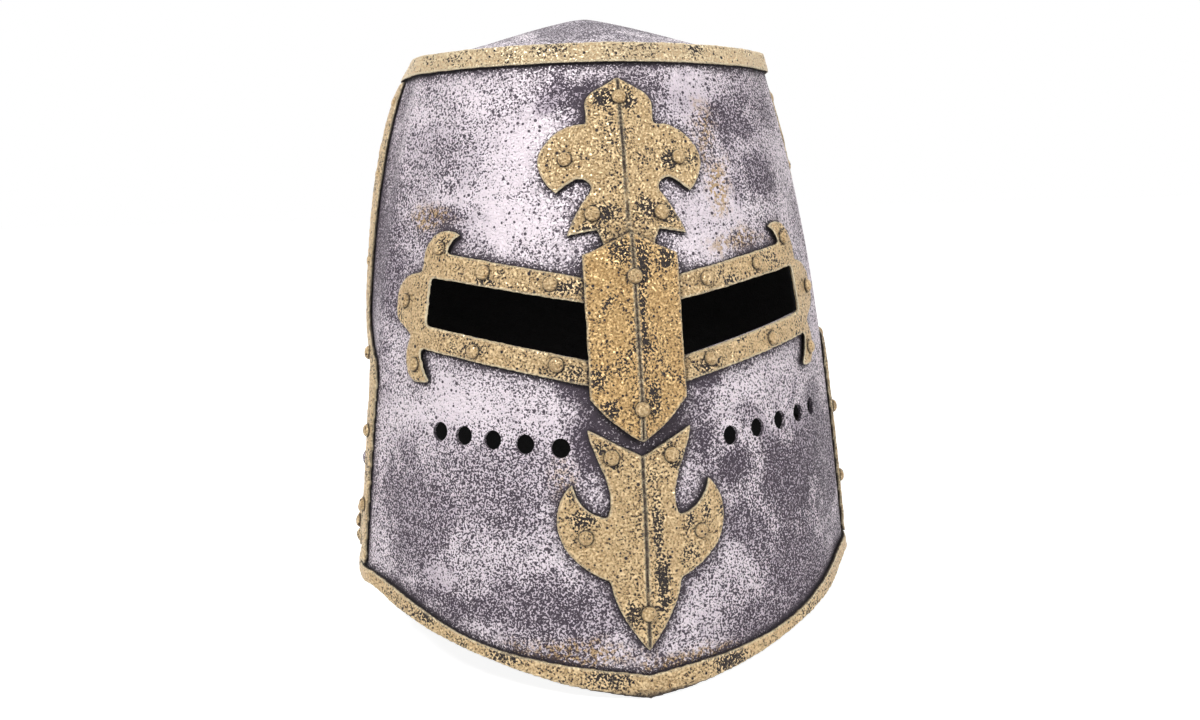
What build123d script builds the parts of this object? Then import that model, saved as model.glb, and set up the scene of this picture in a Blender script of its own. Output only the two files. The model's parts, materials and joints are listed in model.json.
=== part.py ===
from build123d import *
from functools import lru_cache
from math import cos, radians, sin, sqrt, tan
import os

# A great helm of riveted plates. The front faces -Y, +Z is up and the rim stands on the plane Z = 0.
# All sizes are in millimetres.

# Overall form, measured on the outer face of the walls
helm_height = 292.0
rim_half_width = 127.8
brow_half_width = 86.8
rim_front_depth = 121.5
brow_front_depth = 71.2
rim_rear_depth = 136.0
brow_rear_depth = 107.7
rim_middle = -7.2
brow_middle = -2.7
keel_angle = 7.0
rim_bow = 1.66
brow_bow = 1.53

# How the plan changes with height: 1 is the rim's plan and 0 the brow's
height_shares = (-0.041, 0.257, 0.514, 0.771, 1.0, 1.055)
width_shares = (1.017, 0.863, 0.683, 0.398, 0.0, -0.107)
front_shares = (1.004, 0.942, 0.751, 0.417, 0.0, -0.103)
rear_shares = (1.007, 0.95, 0.823, 0.604, 0.0, -0.148)
bow_shares = (0.18, 0.4, 0.62, 0.8, 0.92)
ellipse_power = 2.0

# Plates, bands and the clearances between them
plate_thickness = 2.0
band_thickness = 2.5
seat_clearance = 0.05
butt_gap = 0.3
overrun = 5.0

# Rim band, a channel folded round the lower edge of the walls
rim_side_rise = 35.5
rim_front_width = 11.2
rim_side_top = 43.1
rim_floor = 2.0
rim_inner_leg = 1.5
rim_inner_height = 8.0
rim_stand_half_width = 58.0
rim_curve_half_width = 121.0
rim_low_x_shares = (0.364, 0.711, 0.901)
rim_low_z_shares = (0.231, 0.575, 0.825)
rim_top_x_shares = (0.322, 0.661, 0.851)
rim_top_z_shares = (0.378, 0.582, 0.83)

# Brow band, a ring with a lip that covers the upper edges of the walls
brow_band_width = 10.0
brow_lip = 2.1
brow_lip_depth = 4.3

# Crown plate, a shallow dome with a flange inside the walls
crown_rise = 21.6
crown_base_drop = 3.0
crown_flange_drop = 15.0
crown_power = 1.35
crown_inset = 2.0
crown_scale_shares = (1.0, 0.84, 0.6, 0.34, 0.1)
crown_rear_bow = 1.75
crown_rivet_drop = 8.0
crown_rivet_count = 12

# Side seam, where the face plate laps over the back plate under a band with a jog
seam_low_front = -35.2
seam_high_front = 3.0
seam_jog_low = 134.0
seam_jog_high = 170.0
seam_band_width = 10.6
seam_jog_slant = 0.38
seam_cover = 1.5
seam_lap = 10.0
seam_step = 2.5
seam_rivet_heights = (73.0, 110.0, 147.0, 192.0, 236.0, 272.0)

# Sights and breath holes in the face plate
sight_inner_x = 20.5
sight_outer_top_x = 86.3
sight_outer_low_x = 89.6
sight_inner_top = 174.5
sight_inner_low = 150.2
sight_outer_top = 185.8
sight_outer_low = 164.3
sight_relief = 0.6
breath_radius = 4.4
breath_place_shares = (0.0, 0.293, 0.56, 0.8, 1.0)
breath_right_start = 44.2
breath_left_start = 34.8
breath_row_length = 51.3
breath_height = 108.5
breath_slope = 0.088

# Upper fleur ornament: half outline from the tip down, as shares of its half width and length
upper_fleur_top = 275.6
upper_fleur_length = 85.6
upper_fleur_half_width = 38.0
upper_fleur_leaf_shares = ((0.0, 0.0), (0.245, 0.063), (0.392, 0.119), (0.415, 0.181), (0.411, 0.252))
upper_fleur_petal_shares = ((0.737, 0.282), (0.885, 0.34), (1.0, 0.431), (0.963, 0.526), (0.813, 0.614))
upper_fleur_hollow_shares = ((0.653, 0.561), (0.513, 0.541), (0.424, 0.569), (0.453, 0.62))
upper_fleur_barb_shares = ((0.632, 0.739), (0.732, 0.835))
upper_fleur_foot_shares = ((0.374, 0.806), (0.316, 0.874), (0.316, 1.0))
upper_fleur_rivet_shares = ((0.0, 0.109), (0.69, 0.432), (0.414, 0.718))

# Lower fleur ornament, the same way
lower_fleur_top = 120.4
lower_fleur_length = 98.8
lower_fleur_half_width = 38.2
lower_fleur_notch_share = 0.123
lower_fleur_stem_shares = ((0.618, 0.0), (0.5, 0.153), (0.414, 0.246), (0.39, 0.317), (0.427, 0.394))
lower_fleur_hollow_shares = ((0.592, 0.373), (0.736, 0.317), (0.793, 0.239))
lower_fleur_petal_shares = ((0.958, 0.328), (1.0, 0.423), (0.916, 0.537), (0.715, 0.62), (0.427, 0.682))
lower_fleur_leaf_shares = ((0.361, 0.78), (0.188, 0.904), (0.0, 1.0))
lower_fleur_rivet_shares = ((0.353, 0.128), (0.683, 0.481), (0.0, 0.826))

# Sight frames: the inner post, the two bars and a three-lobed outer end
frame_post_x = 2.6
frame_bar_inner_x = 20.3
frame_bar_inner_top = 186.2
frame_bar_inner_low = 138.3
frame_bar_outer_top_x = 78.8
frame_bar_outer_top = 197.4
frame_bar_outer_low_x = 92.5
frame_bar_outer_low = 153.0
frame_lobe_x = 102.6
frame_lobe_top = 207.9
frame_lobe_low = 137.2
frame_upper_x_shares = (0.75, 0.705, 0.752, 0.799, 0.848, 0.874, 0.884)
frame_upper_z_shares = (0.911, 0.965, 1.0, 0.99, 0.921, 0.82, 0.73)
frame_end_x_shares = (0.936, 0.979, 1.0, 0.997, 0.968, 0.948)
frame_end_z_shares = (0.707, 0.644, 0.521, 0.399, 0.349, 0.307)
frame_lower_x_shares = (0.969, 0.973, 0.951, 0.912, 0.874, 0.895)
frame_lower_z_shares = (0.214, 0.093, 0.017, 0.0, 0.024, 0.106)
frame_rivet_x_shares = (0.806, 0.965, 0.942, 0.627, 0.349, 0.686, 0.343)
frame_rivet_z_shares = (0.887, 0.535, 0.123, 0.73, 0.658, 0.232, 0.157)

# Nose plate, a ridged bar over the crossing
nose_half_width = 21.8
nose_top = 204.0
nose_shoulder_top = 190.5
nose_shoulder_low = 133.0
nose_point = 114.4
nose_edge_rise = 4.9
nose_ridge_rise = 8.4
nose_end_drop = 3.2
nose_round_shares = (0.55, 0.62)
nose_level_shares = (-0.06, 0.1, 0.4, 0.7, 0.93, 1.1)
nose_rivet_top = 186.8
nose_rivet_low = 129.4
nose_seat_clearance = 0.35

# Trefoils on the back plate behind the lower end of the seam
trefoil_y = -8.0
trefoil_height = 59.5
trefoil_spread = 7.2
trefoil_lobe_radius = 5.6
trefoil_stem_width = 8.0
trefoil_boss_radius = 3.6
trefoil_boss_rise = 1.9
trefoil_boss_root = 1.0

# Rivets: domed heads outside, flat closed ends inside
rivet_head_radius = 3.3
rivet_head_rise = 1.9
rivet_shank_radius = 1.5
rivet_hole_clearance = 0.12
rivet_end_radius = 2.6
rivet_end_height = 1.0
rivet_side_step = 1.0
rivet_shoulder_angle = 45.0
rivet_keel_slack = 0.45
stud_neck_share = 0.86

# Leather lining band with its pads, tongues and crown disc
lining_low = 198.0
lining_high = 238.0
lining_thickness = 2.5
lining_gap = 1.4
pad_count = 4
pad_gap_angle = 9.0
pad_pocket_clearance = 0.8
head_half_width = 78.0
head_half_length = 94.0
head_middle = 11.0
tongue_count = 6
tongue_rise = 44.0
tongue_thickness = 1.8
tongue_gap = 9.0
tongue_hole_radius = 20.0
disc_radius = 27.0
disc_thickness = 2.0
lining_rivet_height = 219.0
lining_rivet_turn_shares = (0.18, 0.39, 0.61, 0.82)

# Chin strap, buckled across below the chin and swinging on two rivets
strap_pivot_y = -8.0
strap_pivot_height = 92.0
strap_width = 20.0
strap_thickness = 2.4
strap_layer_gap = 0.3
strap_half_span = 104.0
strap_drop = 70.0
strap_straight = 14.0
strap_end_margin = 10.0
strap_hole_clearance = 0.15
strap_side_clearance = 0.4
strap_spacer_clearance = 0.6
strap_rivet_radius = 2.4
strap_rivet_head_radius = 4.4
strap_rivet_head_rise = 2.2
strap_end_radius = 5.0
strap_spacer_radius = 5.5
strap_lap_half_length = 24.0
stud_base_radius = 5.0
stud_base_thickness = 1.2
stud_neck_radius = 1.8
stud_head_radius = 3.6

plate_inner = -plate_thickness
lap_outer = plate_inner - seat_clearance
lap_inner = lap_outer - plate_thickness
band_inner = seat_clearance
band_outer = seat_clearance + band_thickness
reach = 2 * rim_rear_depth
cut_top = 2 * helm_height


# The helm's outer surface


def between(low, high, share):
    return low + (high - low) * share


def plan_edges(index, grow, scale, height, rear_bow):
    """The closed plan of the wall surface at one level: keel, right, rear, left."""
    half_width = (between(brow_half_width, rim_half_width, width_shares[index]) + grow) * scale
    front = (between(brow_front_depth, rim_front_depth, front_shares[index]) + grow) * scale
    rear = (between(brow_rear_depth, rim_rear_depth, rear_shares[index]) + grow) * scale
    middle = between(rim_middle, brow_middle, height_shares[index])
    bow = between(rim_bow, brow_bow, height_shares[index])
    front_points = [(0, middle - front, height)]
    rear_points = [(half_width, middle, height)]
    for share in bow_shares:
        front_points.append((half_width * share, middle - front * sqrt(1 - share**bow), height))
    for share in reversed(bow_shares):
        rear_points.append((half_width * share, middle + rear * sqrt(1 - share**rear_bow), height))
    front_points.append((half_width, middle, height))
    rear_points.append((0, middle + rear, height))
    keel = (cos(radians(keel_angle)), sin(radians(keel_angle)), 0)
    tail = (-1, 0, 0)
    if rear_bow < ellipse_power:
        tail = (-cos(radians(keel_angle)), sin(radians(keel_angle)), 0)
    right_front = Edge.make_spline(front_points, tangents=(keel, (0, 1, 0)))
    right_rear = Edge.make_spline(rear_points, tangents=((0, 1, 0), tail))
    return [right_front, right_rear, right_rear.mirror(Plane.YZ), right_front.mirror(Plane.YZ)]


@lru_cache(maxsize=None)
def helm_body(grow):
    """The solid inside the wall surface grown outward by one distance, past rim and brow."""
    wires = []
    for index, share in enumerate(height_shares):
        wires.append(Wire(plan_edges(index, grow, 1, helm_height * share, ellipse_power)))
    return Solid.make_loft(wires)


def layer(inner, outer):
    """The shell between two grown wall surfaces."""
    return helm_body(outer) - helm_body(inner)


def hit(grow, start, direction):
    """The first point where a line meets the grown wall surface."""
    line = Axis(start, direction)
    found = []
    for face in helm_body(grow).faces():
        for point, _ in face.find_intersection_points(line):
            found.append(point)
    return min(found, key=lambda point: (point - Vector(*start)).length)


def wall_spot(grow, start, direction):
    """A plane on the grown wall surface, its Z along the outward normal there."""
    aim = Vector(*direction)
    across = aim.cross(Vector(0, 0, 1)) * rivet_side_step
    up = Vector(0, 0, rivet_side_step)
    origin = Vector(*start)
    level_way = hit(grow, tuple(origin + across), direction) - hit(grow, tuple(origin - across), direction)
    up_way = hit(grow, tuple(origin + up), direction) - hit(grow, tuple(origin - up), direction)
    normal = up_way.cross(level_way)
    if normal.dot(aim) > 0:
        normal = normal * -1
    middle = hit(grow, tuple(origin + across * seat_clearance), direction)
    return Plane(middle, x_dir=level_way, z_dir=normal)


def front_spot(grow, x, z):
    return wall_spot(grow, (x, -reach, z), (0, 1, 0))


def side_spot(grow, side, y, z):
    return wall_spot(grow, (side * reach, y, z), (-side, 0, 0))


# Outlines


def run(points):
    """Straight edges through the points."""
    return [Edge.make_line(a, b) for a, b in zip(points, points[1:])]


def curve(points):
    return [Edge.make_spline(points)]


def front_block(edges):
    """A block that stands on an outline in the XZ plane and reaches to the front."""
    face = Face(Wire(edges))
    return Solid.extrude(Plane.XZ * face, (0, -reach, 0))


def mirrored_front_block(edges):
    """The same, from a half outline that runs from the middle line to the middle line."""
    other = [edge.mirror(Plane.YZ) for edge in reversed(edges)]
    return front_block(edges + other)


def rear_block(edges):
    face = Face(Wire(edges))
    return Solid.extrude(Plane.XZ * face, (0, reach, 0))


def side_block(edges, sides):
    """A block on an outline in the YZ plane, to one side or to both."""
    face = Plane.YZ * Face(Wire(edges))
    blocks = [Solid.extrude(face, (side * reach, 0, 0)) for side in sides]
    if len(blocks) == 1:
        return blocks[0]
    return blocks[0] + blocks[1]


def slab(low, high):
    return Pos(0, 0, (low + high) / 2) * Box(2 * reach, 2 * reach, high - low)


def scaled_points(shares, half_width, top, length):
    return [(x * half_width, top - z * length) for x, z in shares]


# The seam line at the sides, from below the rim to above the brow


def seam_points(shift):
    """The corners of the seam line, moved back from the band's front edge."""
    slant = seam_jog_slant * shift
    low_y = seam_low_front + shift
    high_y = seam_high_front + shift
    return (low_y, seam_jog_low - slant), (high_y, seam_jog_high - slant)


def seam_edges(shift, bottom, top):
    low, high = seam_points(shift)
    jog = Edge.make_spline([low, high], tangents=((0, 1), (0, 1)))
    return [Edge.make_line((low[0], bottom), low), jog, Edge.make_line(high, (high[0], top))]


def seam_strip(front_shift, rear_shift, bottom, top, sides):
    """The block between two seam lines."""
    front = seam_edges(front_shift, bottom, top)
    rear = seam_edges(rear_shift, bottom, top)
    ends = [Edge.make_line(front[0] @ 0, rear[0] @ 0), Edge.make_line(front[-1] @ 1, rear[-1] @ 1)]
    return side_block(front + [ends[1]] + rear[::-1] + [ends[0]], sides)


def seam_side(shift, front):
    """The block in front of a seam line or behind it, past rim and brow."""
    far = -reach if front else reach
    edges = seam_edges(shift, -reach, cut_top)
    corners = run([edges[-1] @ 1, (far, cut_top), (far, -reach), edges[0] @ 0])
    return side_block(edges + corners, (-1, 1))


def seam_y(shift, z):
    """Where the seam line lies at a height, with the jog taken as a smooth step."""
    low, high = seam_points(shift)
    if z <= low[1]:
        return low[0]
    if z >= high[1]:
        return high[0]
    share = (z - low[1]) / (high[1] - low[1])
    return between(low[0], high[0], share * share * (3 - 2 * share))


# The rim line, seen from the front and from the rear


def rim_front_edges(lift):
    """Half of the front rim line, from the middle outward, raised by a lift."""
    points = [(0, lift)]
    for x, z in zip(rim_low_x_shares, rim_low_z_shares):
        points.append((x * rim_curve_half_width, z * rim_side_rise + lift))
    points.append((rim_curve_half_width, rim_side_rise + lift))
    return curve(points) + run([points[-1], (reach, rim_side_rise + lift)])


def rim_top_edges():
    """Half of the rim band's upper edge at the front."""
    points = [(0, rim_front_width)]
    for x, z in zip(rim_top_x_shares, rim_top_z_shares):
        points.append((x * rim_curve_half_width, z * rim_side_top))
    points.append((rim_curve_half_width, rim_side_top))
    return curve(points) + run([points[-1], (reach, rim_side_top)])


def rim_rear_edges(low, high):
    """Half of a rear rim line: level where the helm stands, then up to the sides."""
    stand = (rim_stand_half_width, low)
    side = (rim_curve_half_width, high)
    rise = Edge.make_spline([stand, side], tangents=((1, 0), (1, 0)))
    return run([(0, low), stand]) + [rise] + run([side, (reach, high)])


def above(edges, block):
    """The block above a half line that is mirrored about the middle."""
    edges = edges + run([edges[-1] @ 1, (reach, cut_top), (0, cut_top)])
    other = [edge.mirror(Plane.YZ) for edge in reversed(edges)]
    return block(edges + other)


def above_rim(lift):
    """All that lies above the rim line, front and rear."""
    front = above(rim_front_edges(lift), front_block)
    rear = above(rim_rear_edges(lift, rim_side_rise + lift), rear_block)
    return front + rear


def above_rim_band():
    front = above(rim_top_edges(), front_block)
    rear = above(rim_rear_edges(rim_front_width, rim_side_top), rear_block)
    return front + rear


# Rivets


def rivet(grip, head_radius, head_rise, shank_radius, end_radius):
    """A rivet along Z with its seat at 0: domed head above, shank and closed end below."""
    shoulder = head_radius * cos(radians(rivet_shoulder_angle))
    dome_radius = (head_radius**2 + head_rise**2) / (2 * head_rise)
    shoulder_z = sqrt(dome_radius**2 - shoulder**2) - dome_radius + head_rise
    low = -grip - seat_clearance
    end = low - rivet_end_height
    dome = Edge.make_three_point_arc(
        (head_radius, 0, seat_clearance),
        (shoulder, 0, shoulder_z + seat_clearance),
        (0, 0, head_rise + seat_clearance),
    )
    profile = [
        (0, 0, head_rise + seat_clearance),
        (0, 0, end),
        (end_radius, 0, end),
        (end_radius, 0, low),
        (shank_radius, 0, low),
        (shank_radius, 0, seat_clearance),
        (head_radius, 0, seat_clearance),
    ]
    return Solid.revolve(Face(Wire(run(profile) + [dome])), 360, Axis.Z)


def plain_rivet(grip):
    return rivet(grip, rivet_head_radius, rivet_head_rise, rivet_shank_radius, rivet_end_radius)


def rivets_at(spots, grip):
    return [spot.location * plain_rivet(grip) for spot in spots]


def holes_at(spots, depth):
    """Clearance holes for plain rivets, from above the seat to a depth below it."""
    radius = rivet_shank_radius + rivet_hole_clearance
    length = depth + 2 * overrun
    tool = Pos(0, 0, overrun - length / 2) * Cylinder(radius, length)
    return [spot.location * tool for spot in spots]


# Where the rivets sit


def upper_fleur_spots():
    points = scaled_points(
        upper_fleur_rivet_shares, upper_fleur_half_width, upper_fleur_top, upper_fleur_length
    )
    spots = [front_spot(band_outer, 0, points[0][1])]
    for x, z in points[1:]:
        spots += [front_spot(band_outer, side * x, z) for side in (-1, 1)]
    return spots


def barb_spots():
    """The two lowest rivets of the upper fleur, which carry the lining as well."""
    return upper_fleur_spots()[3:]


def lower_fleur_spots():
    points = scaled_points(
        lower_fleur_rivet_shares, lower_fleur_half_width, lower_fleur_top, lower_fleur_length
    )
    spots = [front_spot(band_outer, 0, points[-1][1])]
    for x, z in points[:-1]:
        spots += [front_spot(band_outer, side * x, z) for side in (-1, 1)]
    return spots


def frame_spots(side):
    spots = []
    for x, z in zip(frame_rivet_x_shares, frame_rivet_z_shares):
        height = between(frame_lobe_low, frame_lobe_top, z)
        spots.append(front_spot(band_outer, side * x * frame_lobe_x, height))
    return spots


def nose_spots():
    grow = nose_ridge_rise + nose_seat_clearance
    return [front_spot(grow, 0, z) for z in (nose_rivet_top, nose_rivet_low)]


def seam_spots(side):
    spots = []
    for z in seam_rivet_heights:
        spots.append(side_spot(band_outer, side, seam_y(seam_band_width / 2, z), z))
    return spots


def trefoil_spot(side):
    return side_spot(band_outer, side, trefoil_y, trefoil_height)


# Walls


def breath_spots():
    spots = []
    for side, start in ((-1, breath_left_start), (1, breath_right_start)):
        for share in breath_place_shares:
            x = start + breath_row_length * share
            spots.append(front_spot(0, side * x, breath_height + breath_slope * x))
    return spots


def sight_corners(side, relief):
    return [
        (side * (sight_inner_x - relief), sight_inner_top + relief),
        (side * (sight_outer_top_x + relief), sight_outer_top + relief),
        (side * (sight_outer_low_x + relief), sight_outer_low - relief),
        (side * (sight_inner_x - relief), sight_inner_low - relief),
    ]


def sight_block(side, relief):
    corners = sight_corners(side, relief)
    return front_block(run(corners + corners[:1]))


def face_plate():
    """The front wall, from seam to seam, with its keel, two sights and ten breath holes."""
    wall_top = helm_height - brow_lip - seat_clearance
    plate = layer(plate_inner, 0) & seam_side(seam_band_width - seam_cover, True)
    plate = plate & slab(-overrun, wall_top) & above_rim(rim_floor + seat_clearance)
    for side in (-1, 1):
        plate = plate - sight_block(side, sight_relief)
    tool = Cylinder(breath_radius, 2 * overrun)
    plate = plate - [spot.location * tool for spot in breath_spots()]
    depth = 2 * band_thickness + plate_thickness
    spots = upper_fleur_spots() + lower_fleur_spots() + frame_spots(-1) + frame_spots(1)
    spots += seam_spots(-1) + seam_spots(1)
    plate = plate - holes_at(spots, depth) - holes_at(nose_spots(), nose_ridge_rise + depth)
    return plate - crown_rivet_holes()


def back_plate():
    """The rear wall, stepped inward at its front margins so that they lap under the face plate."""
    wall_top = helm_height - brow_lip - seat_clearance
    edge = seam_band_width - seam_cover + butt_gap
    step = edge + seam_step
    main = layer(plate_inner, 0) & seam_side(edge, False)
    low = rim_side_top + butt_gap
    high = helm_height - crown_flange_drop - butt_gap
    lap = layer(lap_inner, lap_outer) & seam_strip(edge - seam_lap, step, low, high, (-1, 1))
    joggle = layer(lap_inner, plate_inner / 2) & seam_strip(edge, step, low, high, (-1, 1))
    plate = main + joggle + lap
    plate = plate & slab(-overrun, wall_top) & above_rim(rim_floor + seat_clearance)
    spots = seam_spots(-1) + seam_spots(1) + [trefoil_spot(-1), trefoil_spot(1)]
    plate = plate - holes_at(spots, 2 * band_thickness + 2 * plate_thickness)
    plate = plate - holes_at(lining_spots(), 2 * plate_thickness + lining_thickness)
    return plate - strap_rivet_bore() - crown_rivet_holes()


def brow_band():
    """The ring round the top, with a lip over the upper edges of walls and crown flange."""
    low = helm_height - brow_band_width
    skirt = layer(band_inner, band_outer) & slab(low, helm_height)
    lip = layer(-brow_lip_depth, band_outer) & slab(helm_height - brow_lip, helm_height)
    return skirt + lip


def rim_channel():
    """The whole rim band before it is parted: a channel round the lower edges of the walls."""
    inner = plate_inner - seat_clearance
    zone = above_rim(0) & slab(-overrun, helm_height / 2)
    outside = (layer(inner - rim_inner_leg, band_outer) & zone) - above_rim_band()
    pocket = layer(inner, band_inner) & above_rim(rim_floor)
    top_of_leg = layer(inner - rim_inner_leg - overrun, inner) & above_rim(rim_inner_height)
    return outside - pocket - top_of_leg


@lru_cache(maxsize=None)
def rim_bands():
    channel = rim_channel()
    front = channel & seam_side(seam_band_width, True)
    rear = channel & seam_side(seam_band_width + butt_gap, False)
    return front, rear


def seam_band(side):
    """The band over the seam, with the jog beside the sights."""
    low = rim_side_top + butt_gap
    high = helm_height - brow_band_width - butt_gap
    strip = seam_strip(0, seam_band_width, low, high, (side,))
    band = layer(band_inner, band_outer) & strip
    return band - holes_at(seam_spots(side), band_thickness)


# Crown


def crown_dome(grow, drop):
    """The dome from its base inside the walls to the apex."""
    base = helm_height - crown_base_drop - drop
    rise = crown_rise + crown_base_drop
    wires = []
    for scale in crown_scale_shares:
        height = base + rise * (1 - scale**crown_power)
        bow = ellipse_power if scale == 1 else crown_rear_bow
        wires.append(Wire(plan_edges(4, grow - crown_inset, scale, height, bow)))
    return Solid.make_loft(wires)


def crown_plate():
    top = helm_height - brow_lip - seat_clearance
    flange = layer(lap_inner, lap_outer) & slab(helm_height - crown_flange_drop, top)
    dome = crown_dome(0, 0) - crown_dome(-plate_thickness / 2, plate_thickness)
    return (flange + dome) - crown_rivet_holes()


def crown_rivet_spots():
    """Rivets round the crown's flange, hidden under the brow band."""
    spots = []
    height = helm_height - crown_rivet_drop
    for index in range(crown_rivet_count):
        angle = radians((index + 1 / 2) * 360 / crown_rivet_count)
        way = (cos(angle), sin(angle), 0)
        spots.append(wall_spot(0, (reach * way[0], reach * way[1], height), (-way[0], -way[1], 0)))
    return spots


@lru_cache(maxsize=None)
def crown_rivet_holes():
    return holes_at(crown_rivet_spots(), 2 * plate_thickness)


def crown_rivets():
    """Rivets set flush in the wall, closed inside the flange."""
    grip = plate_thickness + seat_clearance + plate_thickness
    shank_length = grip + seat_clearance
    shank = Pos(0, 0, -shank_length / 2 - seat_clearance) * Cylinder(rivet_shank_radius, shank_length)
    end_z = -shank_length - seat_clearance - rivet_end_height / 2
    end = Pos(0, 0, end_z) * Cylinder(rivet_end_radius, rivet_end_height)
    body = shank + end
    return [spot.location * body for spot in crown_rivet_spots()]


# Ornaments on the face


def upper_fleur():
    """A leaf with a curled petal and a barb on each side; its stem runs under the nose plate."""
    size = (upper_fleur_half_width, upper_fleur_top, upper_fleur_length)
    leaf = scaled_points(upper_fleur_leaf_shares, *size)
    petal = scaled_points(upper_fleur_petal_shares, *size)
    hollow = scaled_points(upper_fleur_hollow_shares, *size)
    barb = scaled_points(upper_fleur_barb_shares, *size)
    foot = scaled_points(upper_fleur_foot_shares, *size)
    edges = run(leaf[:2]) + curve(leaf[1:4]) + run(leaf[3:])
    edges += curve([leaf[-1]] + petal) + curve([petal[-1]] + hollow) + curve([hollow[-1]] + barb)
    edges += run([barb[-1]] + foot + [(0, foot[-1][1])])
    plate = layer(band_inner, band_outer) & mirrored_front_block(edges)
    return plate - holes_at(upper_fleur_spots(), band_thickness) - holes_at(nose_spots(), nose_ridge_rise)


def lower_fleur():
    """A swallow-tailed stem, a curled petal on each side and a long pointed leaf."""
    size = (lower_fleur_half_width, lower_fleur_top, lower_fleur_length)
    notch = (0, lower_fleur_top - lower_fleur_notch_share * lower_fleur_length)
    stem = scaled_points(lower_fleur_stem_shares, *size)
    hollow = scaled_points(lower_fleur_hollow_shares, *size)
    petal = scaled_points(lower_fleur_petal_shares, *size)
    leaf = scaled_points(lower_fleur_leaf_shares, *size)
    edges = run([notch, stem[0]]) + curve(stem) + curve([stem[-1]] + hollow)
    edges += curve([hollow[-1]] + petal) + curve([petal[-1]] + leaf)
    plate = layer(band_inner, band_outer) & mirrored_front_block(edges)
    return plate - holes_at(lower_fleur_spots(), band_thickness)


def frame_points(side, x_shares, z_shares):
    points = []
    for x, z in zip(x_shares, z_shares):
        points.append((side * x * frame_lobe_x, between(frame_lobe_low, frame_lobe_top, z)))
    return points


def frame_bar_height(inner_z, outer_x, outer_z, x):
    return between(inner_z, outer_z, (x - frame_bar_inner_x) / (outer_x - frame_bar_inner_x))


def sight_frame(side):
    """The frame round one sight: two bars, an inner post and a three-lobed outer end."""
    top = frame_bar_height(frame_bar_inner_top, frame_bar_outer_top_x, frame_bar_outer_top, frame_post_x)
    low = frame_bar_height(frame_bar_inner_low, frame_bar_outer_low_x, frame_bar_outer_low, frame_post_x)
    post_top = (side * frame_post_x, top)
    post_low = (side * frame_post_x, low)
    bar_top = (side * frame_bar_outer_top_x, frame_bar_outer_top)
    bar_low = (side * frame_bar_outer_low_x, frame_bar_outer_low)
    upper = frame_points(side, frame_upper_x_shares, frame_upper_z_shares)
    end = frame_points(side, frame_end_x_shares, frame_end_z_shares)
    lower = frame_points(side, frame_lower_x_shares, frame_lower_z_shares)
    edges = run([post_top, bar_top]) + curve([bar_top] + upper[:2]) + curve(upper[1:])
    edges += curve([upper[-1]] + end) + curve([end[-1]] + lower[:5])
    edges += curve([lower[4], lower[5], bar_low]) + run([bar_low, post_low, post_top])
    frame = (layer(band_inner, band_outer) & front_block(edges)) - sight_block(side, 0)
    return frame - holes_at(frame_spots(side), band_thickness)


def nose_outline():
    """Half outline of the nose plate: gabled top, straight sides, pointed foot."""
    x = nose_half_width
    top_bend = (x * nose_round_shares[0], between(nose_shoulder_top, nose_top, nose_round_shares[1]))
    low_bend = (x * nose_round_shares[0], between(nose_shoulder_low, nose_point, nose_round_shares[0]))
    edges = curve([(0, nose_top), top_bend, (x, nose_shoulder_top)])
    edges += run([(x, nose_shoulder_top), (x, nose_shoulder_low)])
    edges += curve([(x, nose_shoulder_low), low_bend, (0, nose_point)])
    return edges


def nose_roof():
    """A two-sided roof over the ridge, higher in the middle than at the edges."""
    wires = []
    for share in nose_level_shares:
        z = between(nose_point, nose_top, share)
        drop = nose_end_drop if share < 0 or share > 1 else 0
        ridge = hit(nose_ridge_rise - drop, (seat_clearance, -reach, z), (0, 1, 0)).Y
        edge = hit(nose_edge_rise - drop, (nose_half_width, -reach, z), (0, 1, 0)).Y
        slope = (edge - ridge) / nose_half_width
        wide = nose_half_width + overrun
        wide_y = ridge + slope * wide
        corners = [(0, ridge, z), (wide, wide_y, z), (wide, 0, z), (-wide, 0, z), (-wide, wide_y, z)]
        wires.append(Wire(run(corners + corners[:1])))
    return Solid.make_loft(wires)


def nose_plate():
    """The raised bar over the crossing of the frames, seated on them and on the face."""
    blank = nose_roof() & mirrored_front_block(nose_outline())
    blank = blank - helm_body(seat_clearance)
    low = frame_bar_height(frame_bar_inner_low, frame_bar_outer_low_x, frame_bar_outer_low, 0)
    pocket = helm_body(band_outer + seat_clearance) & slab(low - butt_gap, nose_top + overrun)
    return (blank - pocket) - holes_at(nose_spots(), nose_ridge_rise)


def side_trefoil(side):
    """A stem and three lobes with round bosses, on the back plate behind the seam band."""
    front_y = seam_points(seam_band_width + butt_gap)[0][0]
    lobes = (
        (trefoil_y, trefoil_height + trefoil_spread),
        (trefoil_y, trefoil_height - trefoil_spread),
        (trefoil_y + trefoil_spread, trefoil_height),
    )
    shape = Pos(trefoil_y, trefoil_height) * Circle(trefoil_lobe_radius)
    for y, z in lobes:
        shape = shape + Pos(y, z) * Circle(trefoil_lobe_radius)
    stem_length = trefoil_y - front_y
    stem_middle = front_y + stem_length / 2
    shape = shape + Pos(stem_middle, trefoil_height) * Rectangle(stem_length, trefoil_stem_width)
    block = Solid.extrude(Plane.YZ * shape.face(), (side * reach, 0, 0))
    plate = layer(band_inner, band_outer) & block
    dome_radius = (trefoil_boss_radius**2 + trefoil_boss_rise**2) / (2 * trefoil_boss_rise)
    ball = Pos(0, 0, trefoil_boss_rise - dome_radius) * Sphere(dome_radius)
    size = 2 * dome_radius
    above_root = Box(size, size, size, align=(Align.CENTER, Align.CENTER, Align.MIN))
    cap = ball & Pos(0, 0, -trefoil_boss_root) * above_root
    for y, z in lobes:
        plate = plate + side_spot(band_outer, side, y, z).location * cap
    return plate - holes_at([trefoil_spot(side)], band_thickness)


# Lining


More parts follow.
